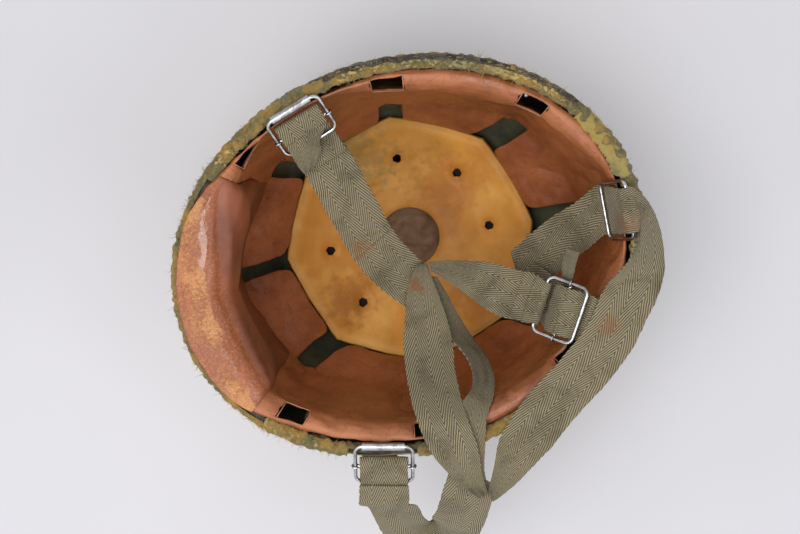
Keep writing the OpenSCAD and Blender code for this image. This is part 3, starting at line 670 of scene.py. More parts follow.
@dataclass(frozen=True)
class EdgingFinish(Finish):
    """Dark woven strip on the steel's edge."""

    name: str = "edging"
    dark: tuple = tint(48, 46, 42)
    grey: tuple = tint(112, 106, 92)

    def colour(self, w: Wiring, place: Socket, shader: bpy.types.Node) -> None:
        """Dark thread rubbed grey in places."""
        worn = w.noise(place, 90, 6, 0.7)
        weave = w.group("weave", {"Vector": place, "Threads": 700.0}).outputs
        base = w.blend(w.span(worn, 0.42, 0.66), self.dark, self.grey)
        join(w, w.blend(w.span(weave["Uneven"], 0.4, 0.7, 0, 0.3), base, self.grey), shader, "Base Color")
        join(w, w.span(worn, 0.3, 0.7, 0.75, 0.95), shader, "Roughness")
        bump(w, shader, weave["Height"], 0.0004, 0.8)


@dataclass(frozen=True)
class PaintFinish(Finish):
    """Dull olive paint on steel, scratched down to brown."""

    name: str = "shell_paint"
    plain: tuple = tint(94, 96, 74)
    dark: tuple = tint(58, 60, 46)
    rust: tuple = tint(96, 66, 44)
    # Painted shade colour for the steel near the crown.
    deep: tuple = tint(30, 27, 20)

    def colour(self, w: Wiring, place: Socket, shader: bpy.types.Node) -> None:
        """Olive paint with dark patches and fine rusty scratches, painted near black as shade round the
        crown.
        """
        wide = w.noise(place, 40, 5, 0.6)
        drawn = {"Rotation": (0.4, 0.9, 0.3), "Scale": (1, 14, 14)}
        line = w.add("Mapping", {"Vector": place, **drawn}).outputs[0]
        base = w.blend(w.span(wide, 0.4, 0.65), self.plain, self.dark)
        base = w.blend(w.span(w.noise(line, 30, 6, 0.7), 0.62, 0.72, 0, 0.7), base, self.rust)
        # Painted shade: the steel within about 74 mm of the middle, fading out by 86 mm, is painted near
        # black where the pad and liner shade it.
        x, y = w.add("SeparateXYZ", {0: place}).outputs[:2]
        reach = w.math("POWER", w.plus(w.times(x, x), w.times(y, y)), 0.5)
        base = w.blend(w.span(reach, 0.074, 0.086, 1.0, 0.0), base, self.deep)
        join(w, base, shader, "Base Color")
        join(w, w.span(wide, 0.3, 0.7, 0.5, 0.75), shader, "Roughness")
        bump(w, shader, w.noise(place, 500, 4), 0.0003, 0.4)


@dataclass(frozen=True)
class MetalFinish(Finish):
    """Nickel-plated steel, bright or satin, with spots of rust."""

    name: str = "wire_metal"
    plate: tuple = tint(196, 196, 200)
    dull: tuple = tint(128, 125, 122)
    rust: tuple = tint(120, 72, 42)
    smooth: float = 0.14
    rough: float = 0.34
    rusty: float = 0.68

    def colour(self, w: Wiring, place: Socket, shader: bpy.types.Node) -> None:
        """Plating that is dull in patches, with fine scratches."""
        wide = w.noise(place, 140, 5, 0.65)
        drawn = {"Rotation": (0.2, 0.5, 0.7), "Scale": (1, 12, 12)}
        line = w.add("Mapping", {"Vector": place, **drawn}).outputs[0]
        scratch = w.noise(line, 160, 6, 0.7)
        spots = w.span(w.noise(place, 260, 6, 0.7), self.rusty, self.rusty + 0.06)
        base = w.blend(w.span(wide, 0.42, 0.68), self.plate, self.dull)
        join(w, w.blend(spots, base, self.rust), shader, "Base Color")
        join(w, w.minus(1.0, w.times(spots, 0.9)), shader, "Metallic")
        plated = w.span(wide, 0.35, 0.7, self.smooth, self.rough)
        join(w, w.plus(plated, w.span(scratch, 0.5, 0.8, 0, 0.12), w.times(spots, 0.4)), shader, "Roughness")
        bump(w, shader, scratch, 0.00008, 0.5)


SATIN = MetalFinish(name="bracket_metal", smooth=0.26, rough=0.42)


@dataclass(frozen=True)
class ThreadFinish(Finish):
    """Waxed sewing thread."""

    name: str = "thread"
    plain: tuple = tint(126, 110, 80)
    dark: tuple = tint(74, 62, 44)

    def colour(self, w: Wiring, place: Socket, shader: bpy.types.Node) -> None:
        """Pale thread, soiled in places."""
        soil = w.noise(place, 130, 4)
        join(w, w.blend(w.span(soil, 0.4, 0.62), self.plain, self.dark), shader, "Base Color")
        join(w, w.span(soil, 0.3, 0.7, 0.7, 0.9), shader, "Roughness")
        bump(w, shader, w.noise(place, 2600, 2), 0.0001, 0.8)


# Shape of the helmet


@dataclass(frozen=True)
class Dome:
    """Sizes of the solids, in millimetres, and places on and inside the shell."""

    length: float = 272.0
    width: float = 225.0
    depth: float = 165.0
    flat: float = 28.0
    power: float = 2.5
    rim: float = 166.2
    panels: int = 8
    seam_turn: float = -8.0
    edge: float = 6.0
    left_angle: float = 107.0
    rear_angle: float = -5.0
    right_angle: float = -110.5
    front_angle: float = 176.0
    pad_radius: float = 79.5
    hole_radius: float = 20.5
    pad_floor: float = 16.0
    pad_rise: float = 26.0
    pad_wall: float = 7.0

    @property
    def pitch(self) -> float:
        """Angle from one seam of the liner to the next."""
        return 360 / self.panels

    def seam(self, k: int) -> float:
        """Direction of a seam between two of the liner's panels."""
        return self.seam_turn + self.pitch * k

    def past_seam(self, a: Numbers) -> Numbers:
        """How far an angle lies past the seam before it."""
        return (np.asarray(a, float) - self.seam_turn) % self.pitch

    def share(self, t: Numbers) -> Numbers:
        """Share of the rim's size at a parameter from 0 at the crown to 90 at the rim."""
        flat = self.flat / (self.length / 2)
        return flat + (1 - flat) * np.sin(np.radians(t)) ** (2 / self.power)

    def at_drop(self, drop: Numbers) -> Numbers:
        """Parameter at a depth below the rim."""
        return np.degrees(np.arccos(np.clip(np.maximum(drop, 0) / self.depth, 0, 1) ** (self.power / 2)))

    def point(self, d: Numbers, t: Numbers, a: Numbers) -> np.ndarray:
        """Place on the dome moved outwards by d, at parameter t and angle a."""
        d, t, a = np.broadcast_arrays(np.asarray(d, float), t, a)
        r, s = np.radians(a), self.share(t)
        z = self.rim - (self.depth + d) * np.clip(np.cos(np.radians(t)), 0, 1) ** (2 / self.power)
        return np.stack([(self.length / 2 + d) * s * np.cos(r), (self.width / 2 + d) * s * np.sin(r), z], -1)

    def wall(self, inwards: Numbers, rise: Numbers, a: Numbers) -> np.ndarray:
        """Place at a height above the rim, a distance inwards of the steel's outer face."""
        inwards, rise, a = np.broadcast_arrays(np.asarray(inwards, float), rise, a)
        r, s = np.radians(a), self.share(self.at_drop(-rise))
        x, y = (self.length / 2 * s - inwards) * np.cos(r), (self.width / 2 * s - inwards) * np.sin(r)
        return np.stack([x, y, self.rim + rise], -1)

    def pad_outline(self, a: Numbers) -> Numbers:
        """Distance of the crown pad's edge from the centre."""
        turn = self.past_seam(a) - self.pitch / 2
        return self.pad_radius * (1 + 0.6 * (1 / np.cos(np.radians(turn)) - 1))

    def pad_top(self, r: Numbers) -> Numbers:
        """Height of the crown pad's face."""
        far = self.pad_radius * 1.05 - self.hole_radius
        return self.pad_floor + self.pad_rise * np.maximum(0, (r - self.hole_radius) / far) ** 1.8

    def outward(self, a: float) -> float:
        """Direction outwards from the rim at an angle."""
        r = math.radians(a)
        return math.degrees(math.atan2(self.length * math.sin(r), self.width * math.cos(r)))


DOME = Dome()


@dataclass
class Shell:
    """Steel shell, edging, cloth cover and its frayed hem."""

    cover_off: float = 1.2
    cover_off_at_rim: float = 2.1
    columns: int = 340
    hem_path: Sequence = (
        (2.5, -4.6), (2.6, -1.5), (2.5, 0.5), (1.7, 1.7), (0.5, 2.1), (-0.9, 2.1), (-2.1, 1.5), (-2.8, 0.2),
        (-3.1, -3.0), (-3.2, -7.5), (-3.2, -12.5),
    )
    wrap_path: Sequence = (
        (6.4, -0.4), (5.2, 1.5), (2.8, 2.7), (0, 3.1), (-2.2, 2.5), (-3.6, 0.6), (-4.0, -3.5), (-3.9, -10.0),
    )
    wrap_angle: float = 16.0
    seed: int = 11

    def cover(self) -> bpy.types.Object:
        """Cloth over the whole dome, with three panels, their seams and slight wrinkles."""
        shares = [0.03, 0.35, 0.7, 1.0]
        turns = np.arange(self.columns) / self.columns * 360
        near_rim = DOME.at_drop(np.linspace(9, 1, 9))
        ts = np.concatenate([np.linspace(1.5, 60, 44), np.linspace(61, 84, 30), near_rim])
        rows = [DOME.point(self.cover_off, 0, turns) * [s, s, 1] for s in shares]
        for t in ts:
            rim = step_between(t, float(DOME.at_drop(10)), float(DOME.at_drop(6)))
            rows.append(DOME.point(mix(self.cover_off, self.cover_off_at_rim, rim), t, turns))
        points = np.vstack(rows)
        faces = grid_faces(len(rows), self.columns, True)
        faces.append(tuple(range(self.columns - 1, -1, -1)))
        piece = new_piece("cloth_cover_piece", points, faces)
        push(piece, self.cover_height)
        finish_with(piece, "SOLIDIFY", thickness=0.8 * MM, offset=-1)
        ClothFinish().put_on(piece)
        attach(piece, "root")
        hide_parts("cloth_cover")
        return piece

    def cover_height(self, p: np.ndarray) -> np.ndarray:
        """Wrinkles and seams of the cover, in millimetres above the cloth."""
        side = step_between(p[:, 2], 3, 40)
        turn = np.arctan2(p[:, 1] / DOME.width, p[:, 0] / DOME.length)
        folds = ripples(np.stack([np.cos(turn) * 60, np.sin(turn) * 60, p[:, 2] * 0.12], 1), 13, self.seed)
        loose = step_between(p[:, 2], 70, 150)
        height = side * 0.35 * (1 + ripples(p, 42, self.seed + 1)) + loose * 0.4 * np.maximum(folds, 0)
        for y in (-36, 36):
            bend = y * (1 + 0.25 * (p[:, 0] / 136) ** 2)
            away = np.abs(p[:, 1] - bend)
            height += side * (0.7 * np.exp(-((away / 2.2) ** 2)) - 0.35 * np.exp(-((away / 0.8) ** 2)))
        return np.maximum(height, 0)

    def hem(self) -> list:
        """Torn hem over the edge, with fibres that stand out of it."""
        count = 620
        turns = np.arange(count) / count * 360
        path = spline(np.array(self.hem_path, float), 3)
        around = np.stack([np.cos(np.radians(turns)), np.sin(np.radians(turns))], 1)
        ragged_low = 1.6 * ripples(around * 60, 9, 3) + 1.5 * ripples(around * 60, 26, 4)
        ragged_in = 1.2 * ripples(around * 60, 7, 5)
        worn = step_between(turns, 26, 34) * step_between(-turns, -100, -94)
        rows = []
        for k, (inwards, rise) in enumerate(path):
            share = k / (len(path) - 1)
            low = ragged_low * max(0, share - 0.75) * 4
            high = ragged_in * max(0, 0.2 - share) * 5
            flat = 0.9 * worn * math.exp(-(((share - 0.5) / 0.2) ** 2))
            rows.append(DOME.wall(np.full(count, inwards), rise + low + high - flat, turns))
        points = np.vstack(rows)
        middle = (turns + 180 / count) % 360
        near_right = turn_between(middle, DOME.right_angle) < 9
        at_front = turn_between(middle, DOME.front_angle) < 41
        faces = []
        inner = int(0.30 * len(path))
        crest = int(0.46 * len(path))
        for k, face in enumerate(grid_faces(len(path), count, True)):
            i, j = divmod(k, count)
            if (near_right[j] and i > inner) or (at_front[j] and i < crest):
                continue
            faces.append(face)
        piece = new_piece("cover_hem_piece", points, faces)
        loose = bmesh.new()
        loose.from_mesh(piece.data)
        bmesh.ops.delete(loose, geom=[v for v in loose.verts if not v.link_faces], context="VERTS")
        loose.to_mesh(piece.data)
        loose.free()
        push(piece, lambda p: -0.45 + 0.5 * ripples(p, 8, 7) + 0.4 * ripples(p, 3.4, 8))
        finish_with(piece, "SOLIDIFY", thickness=0.7 * MM, offset=-1)
        FrayFinish().put_on(piece)
        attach(piece, "root")
        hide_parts("cover_hem")
        fibres = self.fibres()
        torn = [
            self.layers("hem_layers_olive", ClothFinish(), 3),
            self.layers("hem_layers_gold", FrayFinish(), 4),
            self.wrap(),
        ]
        return [piece, fibres, *torn]

    def wrap(self) -> bpy.types.Object:
        """Whole stretch of the cover's edge, smooth and turned in over the leather."""
        path = spline(np.array(self.wrap_path), 3)
        turns = np.linspace(4.5, 28, 60)
        ends = np.sqrt(step_between(turns, 3.6, 8) * step_between(-turns, -29, -25))
        rows = []
        for k, (inwards, rise) in enumerate(path):
            share = k / (len(path) - 1)
            torn = 0.7 * ripples(turns[:, None], 1.5, 91) + 0.9 * ripples(turns[:, None], 6, 92)
            torn = torn * max(0, 1 - 4 * share)
            drawn_in = mix(0, inwards, 0.45 + 0.55 * ends) - torn * 0.5
            rows.append(DOME.wall(drawn_in, mix(1.9, rise, 0.3 + 0.7 * ends), turns))
        piece = new_piece("hem_wrap", np.vstack(rows), grid_faces(len(path), len(turns), False))
        push(piece, lambda p: 0.3 * ripples(p, 16, 93))
        finish_with(piece, "SOLIDIFY", thickness=0.5 * MM, offset=0)
        ClothFinish(
            name="wrap_cloth", plain=tint(164, 142, 74), olive=tint(138, 126, 70), green=tint(112, 114, 82),
            pale=tint(190, 170, 106),
        ).put_on(piece)
        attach(piece, "root")
        return piece

    def layers(self, name: str, finish: Finish, seed: int) -> bpy.types.Object:
        """Torn pieces of cloth that lie over the hem."""
        rng = np.random.default_rng(seed)
        path = spline(np.array(self.hem_path, float), 4)
        shares = np.linspace(0, 1, len(path))
        slope = np.gradient(path, axis=0)
        slope /= np.linalg.norm(slope, axis=1)[:, None]
        points, faces = [], []
        bare = [(a, 8) for a in (DOME.left_angle, DOME.rear_angle, DOME.right_angle)]
        bare += [(DOME.front_angle, 38), (self.wrap_angle, 12)]
        for centre in np.arange(0, 360, 7.5) + rng.uniform(-3, 3, 48):
            half = rng.uniform(2.5, 7.5)
            if any(turn_between(centre, a) < half + reach for a, reach in bare):
                continue
            low, high, lift = rng.uniform(0.06, 0.34), rng.uniform(0.42, 0.72), rng.uniform(0.35, 0.8)
            columns, rows = int(half * 5), 10
            turns = centre + np.linspace(-half, half, columns)
            taper = np.sqrt(np.clip(1 - ((turns - centre) / half) ** 4, 0.02, 1))
            edge = ripples(turns[:, None], 1.6, int(centre) + seed)
            other = ripples(turns[:, None], 1.3, int(centre) + seed + 50)
            middle = (low + high) / 2
            first = middle - (middle - low) * taper + 0.035 * edge
            last = middle + (high - middle) * taper + 0.045 * other
            start = len(points)
            for f in np.linspace(0, 1, rows):
                at = np.clip(first + (last - first) * f, 0, 1)
                x, z, dx, dz = (np.interp(at, shares, k) for k in (*path.T, *slope.T))
                waves = 0.35 * ripples(np.stack([turns * 2.3, at * 30], 1), 5, seed)
                off = lift + waves + 0.5 * (2 * f - 1) ** 4
                points += list(DOME.wall(x + dz * off, z - dx * off, turns))
            faces += grid_faces(rows, columns, False, start)
        piece = new_piece(name, np.array(points), faces)
        finish_with(piece, "SOLIDIFY", thickness=0.35 * MM, offset=0)
        finish.put_on(piece)
        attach(piece, "root")
        return piece

    def fibres(self) -> bpy.types.Object:
        """Loose threads and tufts along the hem."""
        rng = np.random.default_rng(self.seed)
        starts, ways, lengths, widths = [], [], [], []
        bare = ((DOME.right_angle, 10), (DOME.rear_angle, 9), (DOME.left_angle, 9))
        for angle, spread, count in FRAY:
            for _ in range(2 * count):
                a = angle + rng.normal() * spread
                if any(turn_between(a, middle) < reach for middle, reach in bare):
                    continue
                front = turn_between(a, DOME.front_angle) < 45
                side = rng.uniform(-3.1, -2.0) if front else rng.uniform(-3.1, 2.9)
                rise = (1.2 if front else 1.9) - 0.35 * max(0, abs(side) - 1.5)
                starts.append(DOME.wall(side, rise, a))
                r = math.radians(DOME.outward(a))
                out = np.array([math.cos(r), math.sin(r), 0.0])
                along = np.array([-out[1], out[0], 0.0])
                lean = (-0.7 if side > 1 and not front else 0.8) * rng.uniform(-0.4, 1.3)
                way = out * lean + along * rng.normal() * 0.8 + np.array([0, 0, rng.uniform(0.05, 0.7)])
                ways.append(way / np.linalg.norm(way))
                lengths.append(min(rng.gamma(2.4, 0.5) + 0.6, 2.7))
                widths.append(rng.uniform(0.15, 0.34))
        piece = fibre_mesh("hem_fibres", *(np.array(k) for k in (starts, ways, lengths, widths)), seed=5)
        FrayFinish(
            name="fray_threads", gold=tint(204, 164, 78), olive=tint(156, 138, 80), pale=tint(230, 202, 134),
            dark=tint(122, 98, 50),
        ).put_on(piece)
        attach(piece, "root")
        return piece

    def piping(self) -> bpy.types.Object:
        """Dark doubled edge of the cover where the hem has worn away."""
        turns = np.linspace(26, 100, 150)
        ends = step_between(turns, 26, 32) * step_between(-turns, -100, -96)
        strands = []
        for inwards, rise in ((-1.5, 2.6), (-3.2, 1.9)):
            wander = 0.25 * ripples(turns[:, None], 7, 21)
            strands.append(DOME.wall(inwards + wander, rise - 1.8 * (1 - ends), turns))
        piece = tube_mesh("cover_piping", strands, 0.95, 8)
        EdgingFinish().put_on(piece)
        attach(piece, "root")
        return piece

    def build(self) -> list:
        """Builds the pieces of the shell."""
        PaintFinish().put_on(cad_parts["steel_shell"])
        EdgingFinish().put_on(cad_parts["edging_strip"])
        return [self.cover(), *self.hem(), self.piping()]


# Angle, spread in degrees and number of threads of each frayed stretch of the hem
FRAY = (
    (88, 5, 260), (75, 4, 160), (62, 6, 260), (48, 5, 240), (36, 4, 200), (25, 3, 160), (16, 3, 80),
    (95, 4, 120), (118, 5, 160), (128, 5, 160), (137, 6, 200), (150, 6, 90), (165, 8, 70), (185, 8, 60),
    (205, 7, 90), (218, 4, 220), (226, 4, 220), (234, 4, 160), (-95, 4, 90), (-84, 5, 120), (-60, 12, 110),
    (-30, 14, 90), (2, 5, 60),
)


def tube_mesh(name: str, lines: Sequence[np.ndarray], radius: float, sides: int = 8) -> bpy.types.Object:
    """Round tubes along lines of places, in one mesh with closed ends."""
    points, faces = [], []
    for line in lines:
        along = np.gradient(line, axis=0)
        along /= np.linalg.norm(along, axis=1)[:, None]
        first = np.cross(along, [0.0, 0.0, 1.0])
        first /= np.linalg.norm(first, axis=1)[:, None]
        second = np.cross(along, first)
        start = len(points)
        turn = np.arange(sides) / sides * 2 * np.pi
        for i, place in enumerate(line):
            for a in turn:
                points.append(place + radius * (math.cos(a) * first[i] + math.sin(a) * second[i]))
        n = len(line)
        faces += [tuple(reversed(f)) for f in grid_faces(n, sides, True, start)]
        faces.append(tuple(start + k for k in range(sides)))
        faces.append(tuple(start + (n - 1) * sides + k for k in reversed(range(sides))))
    return new_piece(name, np.array(points), faces)


def fibre_mesh(
    name: str, starts: np.ndarray, ways: np.ndarray, lengths: np.ndarray, widths: np.ndarray, seed: int
) -> bpy.types.Object:
    """Many thin bent threads in one mesh, three-sided and pointed.

    Args:
        name: name of the piece.
        starts: where each thread leaves the cloth.
        ways: its first direction.
        lengths: its length in millimetres.
        widths: its radius at the start.
        seed: chooses the bends.

    Returns:
        The piece.
    """
    rng = np.random.default_rng(seed)
    count, rings = len(starts), 4
    bend = rng.normal(size=(count, 3)) * 1.5
    side = np.cross(ways, rng.normal(size=(count, 3)))
    side /= np.linalg.norm(side, axis=1)[:, None]
    other = np.cross(ways, side)
    points = np.zeros((count, rings, 3, 3))
    for k in range(rings):
        s = k / (rings - 1)
        centre = starts + (ways * s + bend * s * s * 0.5) * lengths[:, None]
        radius = widths * (1 - 0.8 * s)
        for c in range(3):
            a = c * 2 * math.pi / 3
            points[:, k, c] = centre + radius[:, None] * (math.cos(a) * side + math.sin(a) * other)
    faces = []
    for n in range(count):
        base = n * rings * 3
        faces += [tuple(reversed(f)) for f in grid_faces(rings, 3, True, base)]
        last = base + 3 * rings
        faces += [(base, base + 1, base + 2), (last - 1, last - 2, last - 3)]
    return new_piece(name, points.reshape(-1, 3), faces)


@dataclass
class Liner:
    """Leather liner, its padding, the forehead pad and the stud in a window."""

    rows: Sequence = (
        (0, 0, -1.2, 0, 0, 8, 4.3),
        (0.6, 1, 2, 0.5, 0.6, 8, 3.8),
        (2.6, 4.5, 2, 1.6, 4, 8, 3.4),
        (6, 8, -1, 1.8, 7, 6.5, 2.4),
        (9.5, 10.5, -6.5, 1.8, 9, 4, 1),
        (8, 11, -16, 2.1, 10, 0, 0),
        (6, 9.5, -32, 3, 7, 0, 0),
        (4, 8, -64, 4, 0, 0, 0),
        (3.5, 7.5, -97, 3.5, 0, 0, 0),
    )
    reach: Sequence = (7, 7, 6, 3, 1)
    left_drop: Sequence = (2, 2, 2, 2, 1)
    ends: Sequence = ((-97, 0.0), (-110, 0.45), (-124.0, 1.0))
    swells: Sequence = (0.02, 0.1, 0.4, 0.8, 1, 0.95, 0.5, 0.05)
    window_shift: Sequence = (0, 3, -0.5, -3.2, 0, 5.8, 0, 0)
    crease: Sequence = ((133, 1.9), (141, 2.9), (151, 3.5), (161, 3.75), (176, 3.9), (196, 3.9), (212, 3.7))
    pad_ends: tuple = (133.0, 212.0)
    openings: Sequence = (0.6, 0.66, 0.55, 0.42, 0.3, 0.55, 0.5, 0.5)
    lip: float = 2.0
    window: float = 4.27
    window_rows: Sequence = ((1.4, 4), (1.4, 4), (1, 4.5), (1, 4.6), *[(1.4, 4)] * 4)
    bulge: float = 20.0
    wall: float = 1.6

    def front(self, a: Numbers) -> Numbers:
        """How far round the front an angle lies, from 0 to 1."""
        return np.exp(-((turn_between(a, DOME.front_angle) / 41) ** 8))

    def press(self, a: Numbers, centre: float) -> Numbers:
        """How much a loop presses at an angle."""
        return np.exp(-((turn_between(a, centre) / 20) ** 4))

    def row(self, i: int, a: Numbers) -> np.ndarray:
        """Profile of one row: inwards and rise at each angle."""
        r = self.rows[i]
        swell = np.abs(np.sin(np.radians(DOME.panels / 2 * DOME.past_seam(a)))) ** 0.6
        both = np.maximum(self.press(a, DOME.left_angle), self.press(a, DOME.rear_angle))
        inwards = DOME.edge + np.maximum(r[3], mix(r[0], r[1], swell) - r[4] * both)
        if i < len(self.reach):
            inwards = inwards - self.reach[i] * self.front(a)
        if i == 0:
            clear = np.maximum(both, self.press(a, DOME.right_angle))
            inwards = inwards - self.lip * (1 - clear) * (1 - self.front(a))
        rise = r[2] - r[5] * self.press(a, DOME.rear_angle) + r[6] * self.front(a)
        if i == 0:
            rise = rise + 2.4 * both
        if i < len(self.left_drop):
            rise = rise - self.left_drop[i] * self.press(a, DOME.left_angle)
        return np.stack([inwards, rise + 0 * inwards], -1)

    def profile(self, s: float, a: Numbers) -> np.ndarray:
        """Profile at a row number with a fraction."""
        last = len(self.rows) - 1
        i = min(int(s), last - 1)
        return mix(self.row(i, a), self.row(i + 1, a), min(s, last) - i)

    def place(self, s: float, a: np.ndarray, lift: Numbers = 0.0) -> np.ndarray:
        """Place on the leather's face, lifted off it towards the head."""
        last = len(self.rows) - 1
        if s <= last:
            here = self.profile(s, a)
            along = self.profile(min(s + 0.6, last), a) - self.profile(max(s - 0.6, 0), a)
            along = along / np.linalg.norm(along, axis=-1)[..., None]
            here = here + np.asarray(lift)[..., None] * np.stack([-along[..., 1], along[..., 0]], -1)
            return DOME.wall(here[..., 0], here[..., 1], a)
        k = min(int(s - last), len(self.ends) - 2)
        f = s - last - k
        rise, share = (mix(self.ends[k][n], self.ends[k + 1][n], f) for n in (0, 1))
        start = DOME.wall(self.row(last, a)[..., 0], rise, a)
        radius = DOME.pad_outline(a) - 1.2
        r = np.radians(a)
        end = np.stack([radius * np.cos(r), radius * np.sin(r), 0 * radius + DOME.rim + rise], -1)
        return mix(start, end, share)

    def leather(self) -> bpy.types.Object:
        """Folded leather with a window at each seam and openings at the crown pad's corners."""
        w = self.window
        offsets = (-9.0, -w, -w / 3, w / 3, w, 9.0, 13, 17, 20.5, 24.5, 28, 32)
        steps = [0, 0.5, 1, 1.4, 2, 2.5, 3, 3.5, 4, 4.5, 5, 5.5, 6, 6.6, 7.2, 7.7, 8, 8.6, 9.2, 10]
        rng = np.random.default_rng(9)
        rows = []
        count = DOME.panels * len(offsets)
        for s in steps:
            turns, lifts = [], []
            for k in range(DOME.panels):
                middle = DOME.seam(k)
                shift = self.window_shift[k] * float(1 - step_between(s, 4, 6))
                open_half = self.openings[k] * float(np.interp(s, [7.7, 8.6, 10], [6.0, 7.6, 9.0]))
                for n, off in enumerate(offsets):
                    if n in (0, 5):
                        off = math.copysign(mix(9.0, open_half, float(step_between(s, 6.5, 7.7))), off)
                    cut = n in (1, 2, 3, 4)
                    turns.append(middle + off + (shift + 0.3 * rng.normal() if cut else 0))
                    lifts.append(0.3 * rng.normal() if cut and s < 4.5 else 0.0)
            rows.append(self.place(s, np.array(turns), np.array(lifts)))
        faces = []
        for k, face in enumerate(grid_faces(len(steps), count, True)):
            i, j = divmod(k, count)
            n = j % len(offsets)
            low, high = self.window_rows[j // len(offsets)]
            if n in (1, 2, 3) and low <= steps[i] < high:
                continue
            if n in (0, 1, 2, 3, 4) and steps[i] >= 8:
                continue
            faces.append(face)
        piece = new_piece("leather_liner_piece", np.vstack(rows), faces)
        finish_with(piece, "SOLIDIFY", thickness=self.wall * MM, offset=-1)
        finish_with(piece, "SUBSURF", levels=2, render_levels=2)
        push(piece, self.wrinkles)
        LeatherFinish().put_on(piece)
        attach(piece, "root")
        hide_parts("leather_liner")
        return piece

    def cut_edges(self) -> bpy.types.Object:
        """Pale raw edges of the leather round its windows."""
        lines = []
        for k, (low, high) in enumerate(self.window_rows):
            if turn_between(DOME.seam(k), DOME.front_angle) < 20:
                continue
            middle, half = DOME.seam(k) + self.window_shift[k], self.window
            high = min(high, 4)
            down, along = np.linspace(low + 0.15, high - 0.1, 9), np.linspace(-half * 0.97, half * 0.97, 15)
            path = [(s, -half) for s in down] + [(high, o) for o in along] + [(s, half) for s in down[::-1]]
            sunk = np.array([-0.25])
            lines.append(np.array([self.place(s, np.array([middle + o]), sunk)[0] for s, o in path]))
        piece = tube_mesh("leather_cut_edges", lines, 0.3, 6)
        LeatherFinish(
            name="cut_leather", dark=tint(128, 74, 46), plain=tint(190, 132, 94), pale=tint(212, 160, 122)
        ).put_on(piece)
        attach(piece, "root")
        return piece

    def wrinkles(self, p: np.ndarray) -> np.ndarray:
        """Soft dents and folds of the leather, in millimetres."""
        deep = step_between(DOME.rim - p[:, 2], 4, 20) * step_between(p[:, 2], 44, 58)
        drawn = np.stack([p[:, 0], p[:, 1], p[:, 2] * 0.45], 1)
        return deep * 0.8 * ripples(drawn, 30, 31) + 0.22 * ripples(p, 12, 32)

    def forehead(self) -> bpy.types.Object:
        """Thick pad along the wearer's forehead."""
        start, end = self.pad_ends
        turns = np.linspace(start, end, 64)
        middle, half = (start + end) / 2, (end - start) / 2
        taper = np.clip(1 - np.abs((turns - middle) / half) ** 3.2, 0, 1) ** 0.5
        steps = np.linspace(1.0, 8.0, 36)
        swells = np.interp(steps, np.linspace(1, 8, 43), spline(np.array(self.swells)[:, None], 6)[:, 0])
        line = np.interp(turns, *zip(*self.crease))
        top = []
        for s, f in zip(steps, swells):
            lower = 1 - 0.2 * step_between(s - line, 0, 0.8)
            groove = 4.0 * np.exp(-(((s - line) / 0.3) ** 2))
            lift = 0.4 + np.maximum(0.6 + self.bulge * f * lower - groove, 0.6) * taper
            top.append(self.place(s, turns, lift))
        under = [self.place(s, turns, np.full(len(turns), 0.3)) for s in steps]
        faces = block_faces(len(steps), len(turns))
        piece = new_piece("forehead_pad_piece", np.vstack(top + under), faces)
        finish_with(piece, "SUBSURF", levels=1, render_levels=1)
        push(piece, lambda p: 0.4 * ripples(p * [1, 1, 0.6], 34, 41) + 0.07 * ripples(p, 9, 42))
        ForeheadFinish().put_on(piece)
        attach(piece, "root")
        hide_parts("forehead_pad")
        return piece

    def padding(self) -> bpy.types.Object:
        """Padding blocks between the leather and the steel, one behind each panel."""
        points, faces = [], []
        steps = (6.0, 6.5, 7.0, 7.5, 8.0)
        for k in range(DOME.panels):
            turns = DOME.seam(k) + np.linspace(9, DOME.pitch - 9, 10)
            outer = [DOME.point(-2.3, DOME.at_drop(-self.profile(s, turns)[..., 1]), turns) for s in steps]
            inner = [self.place(s, turns, np.full(len(turns), -2.4)) for s in steps]
            start = len(points)
            points += list(np.vstack(inner + outer))
            faces += block_faces(len(steps), len(turns), start)
        piece = new_piece("foam_pads_piece", np.array(points), faces)
        finish_with(piece, "BEVEL", width=1.0 * MM, segments=2, limit_method="ANGLE")
        push(piece, lambda p: 0.25 * ripples(p, 9, 51) - 0.2)
        FeltFinish().put_on(piece)
        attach(piece, "root")
        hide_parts("foam_pads")
        return piece

    def build(self) -> list:
        """Builds the pieces of the liner."""
        SATIN.put_on(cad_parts["liner_rivet"])
        return [self.leather(), self.cut_edges(), self.forehead(), self.padding()]


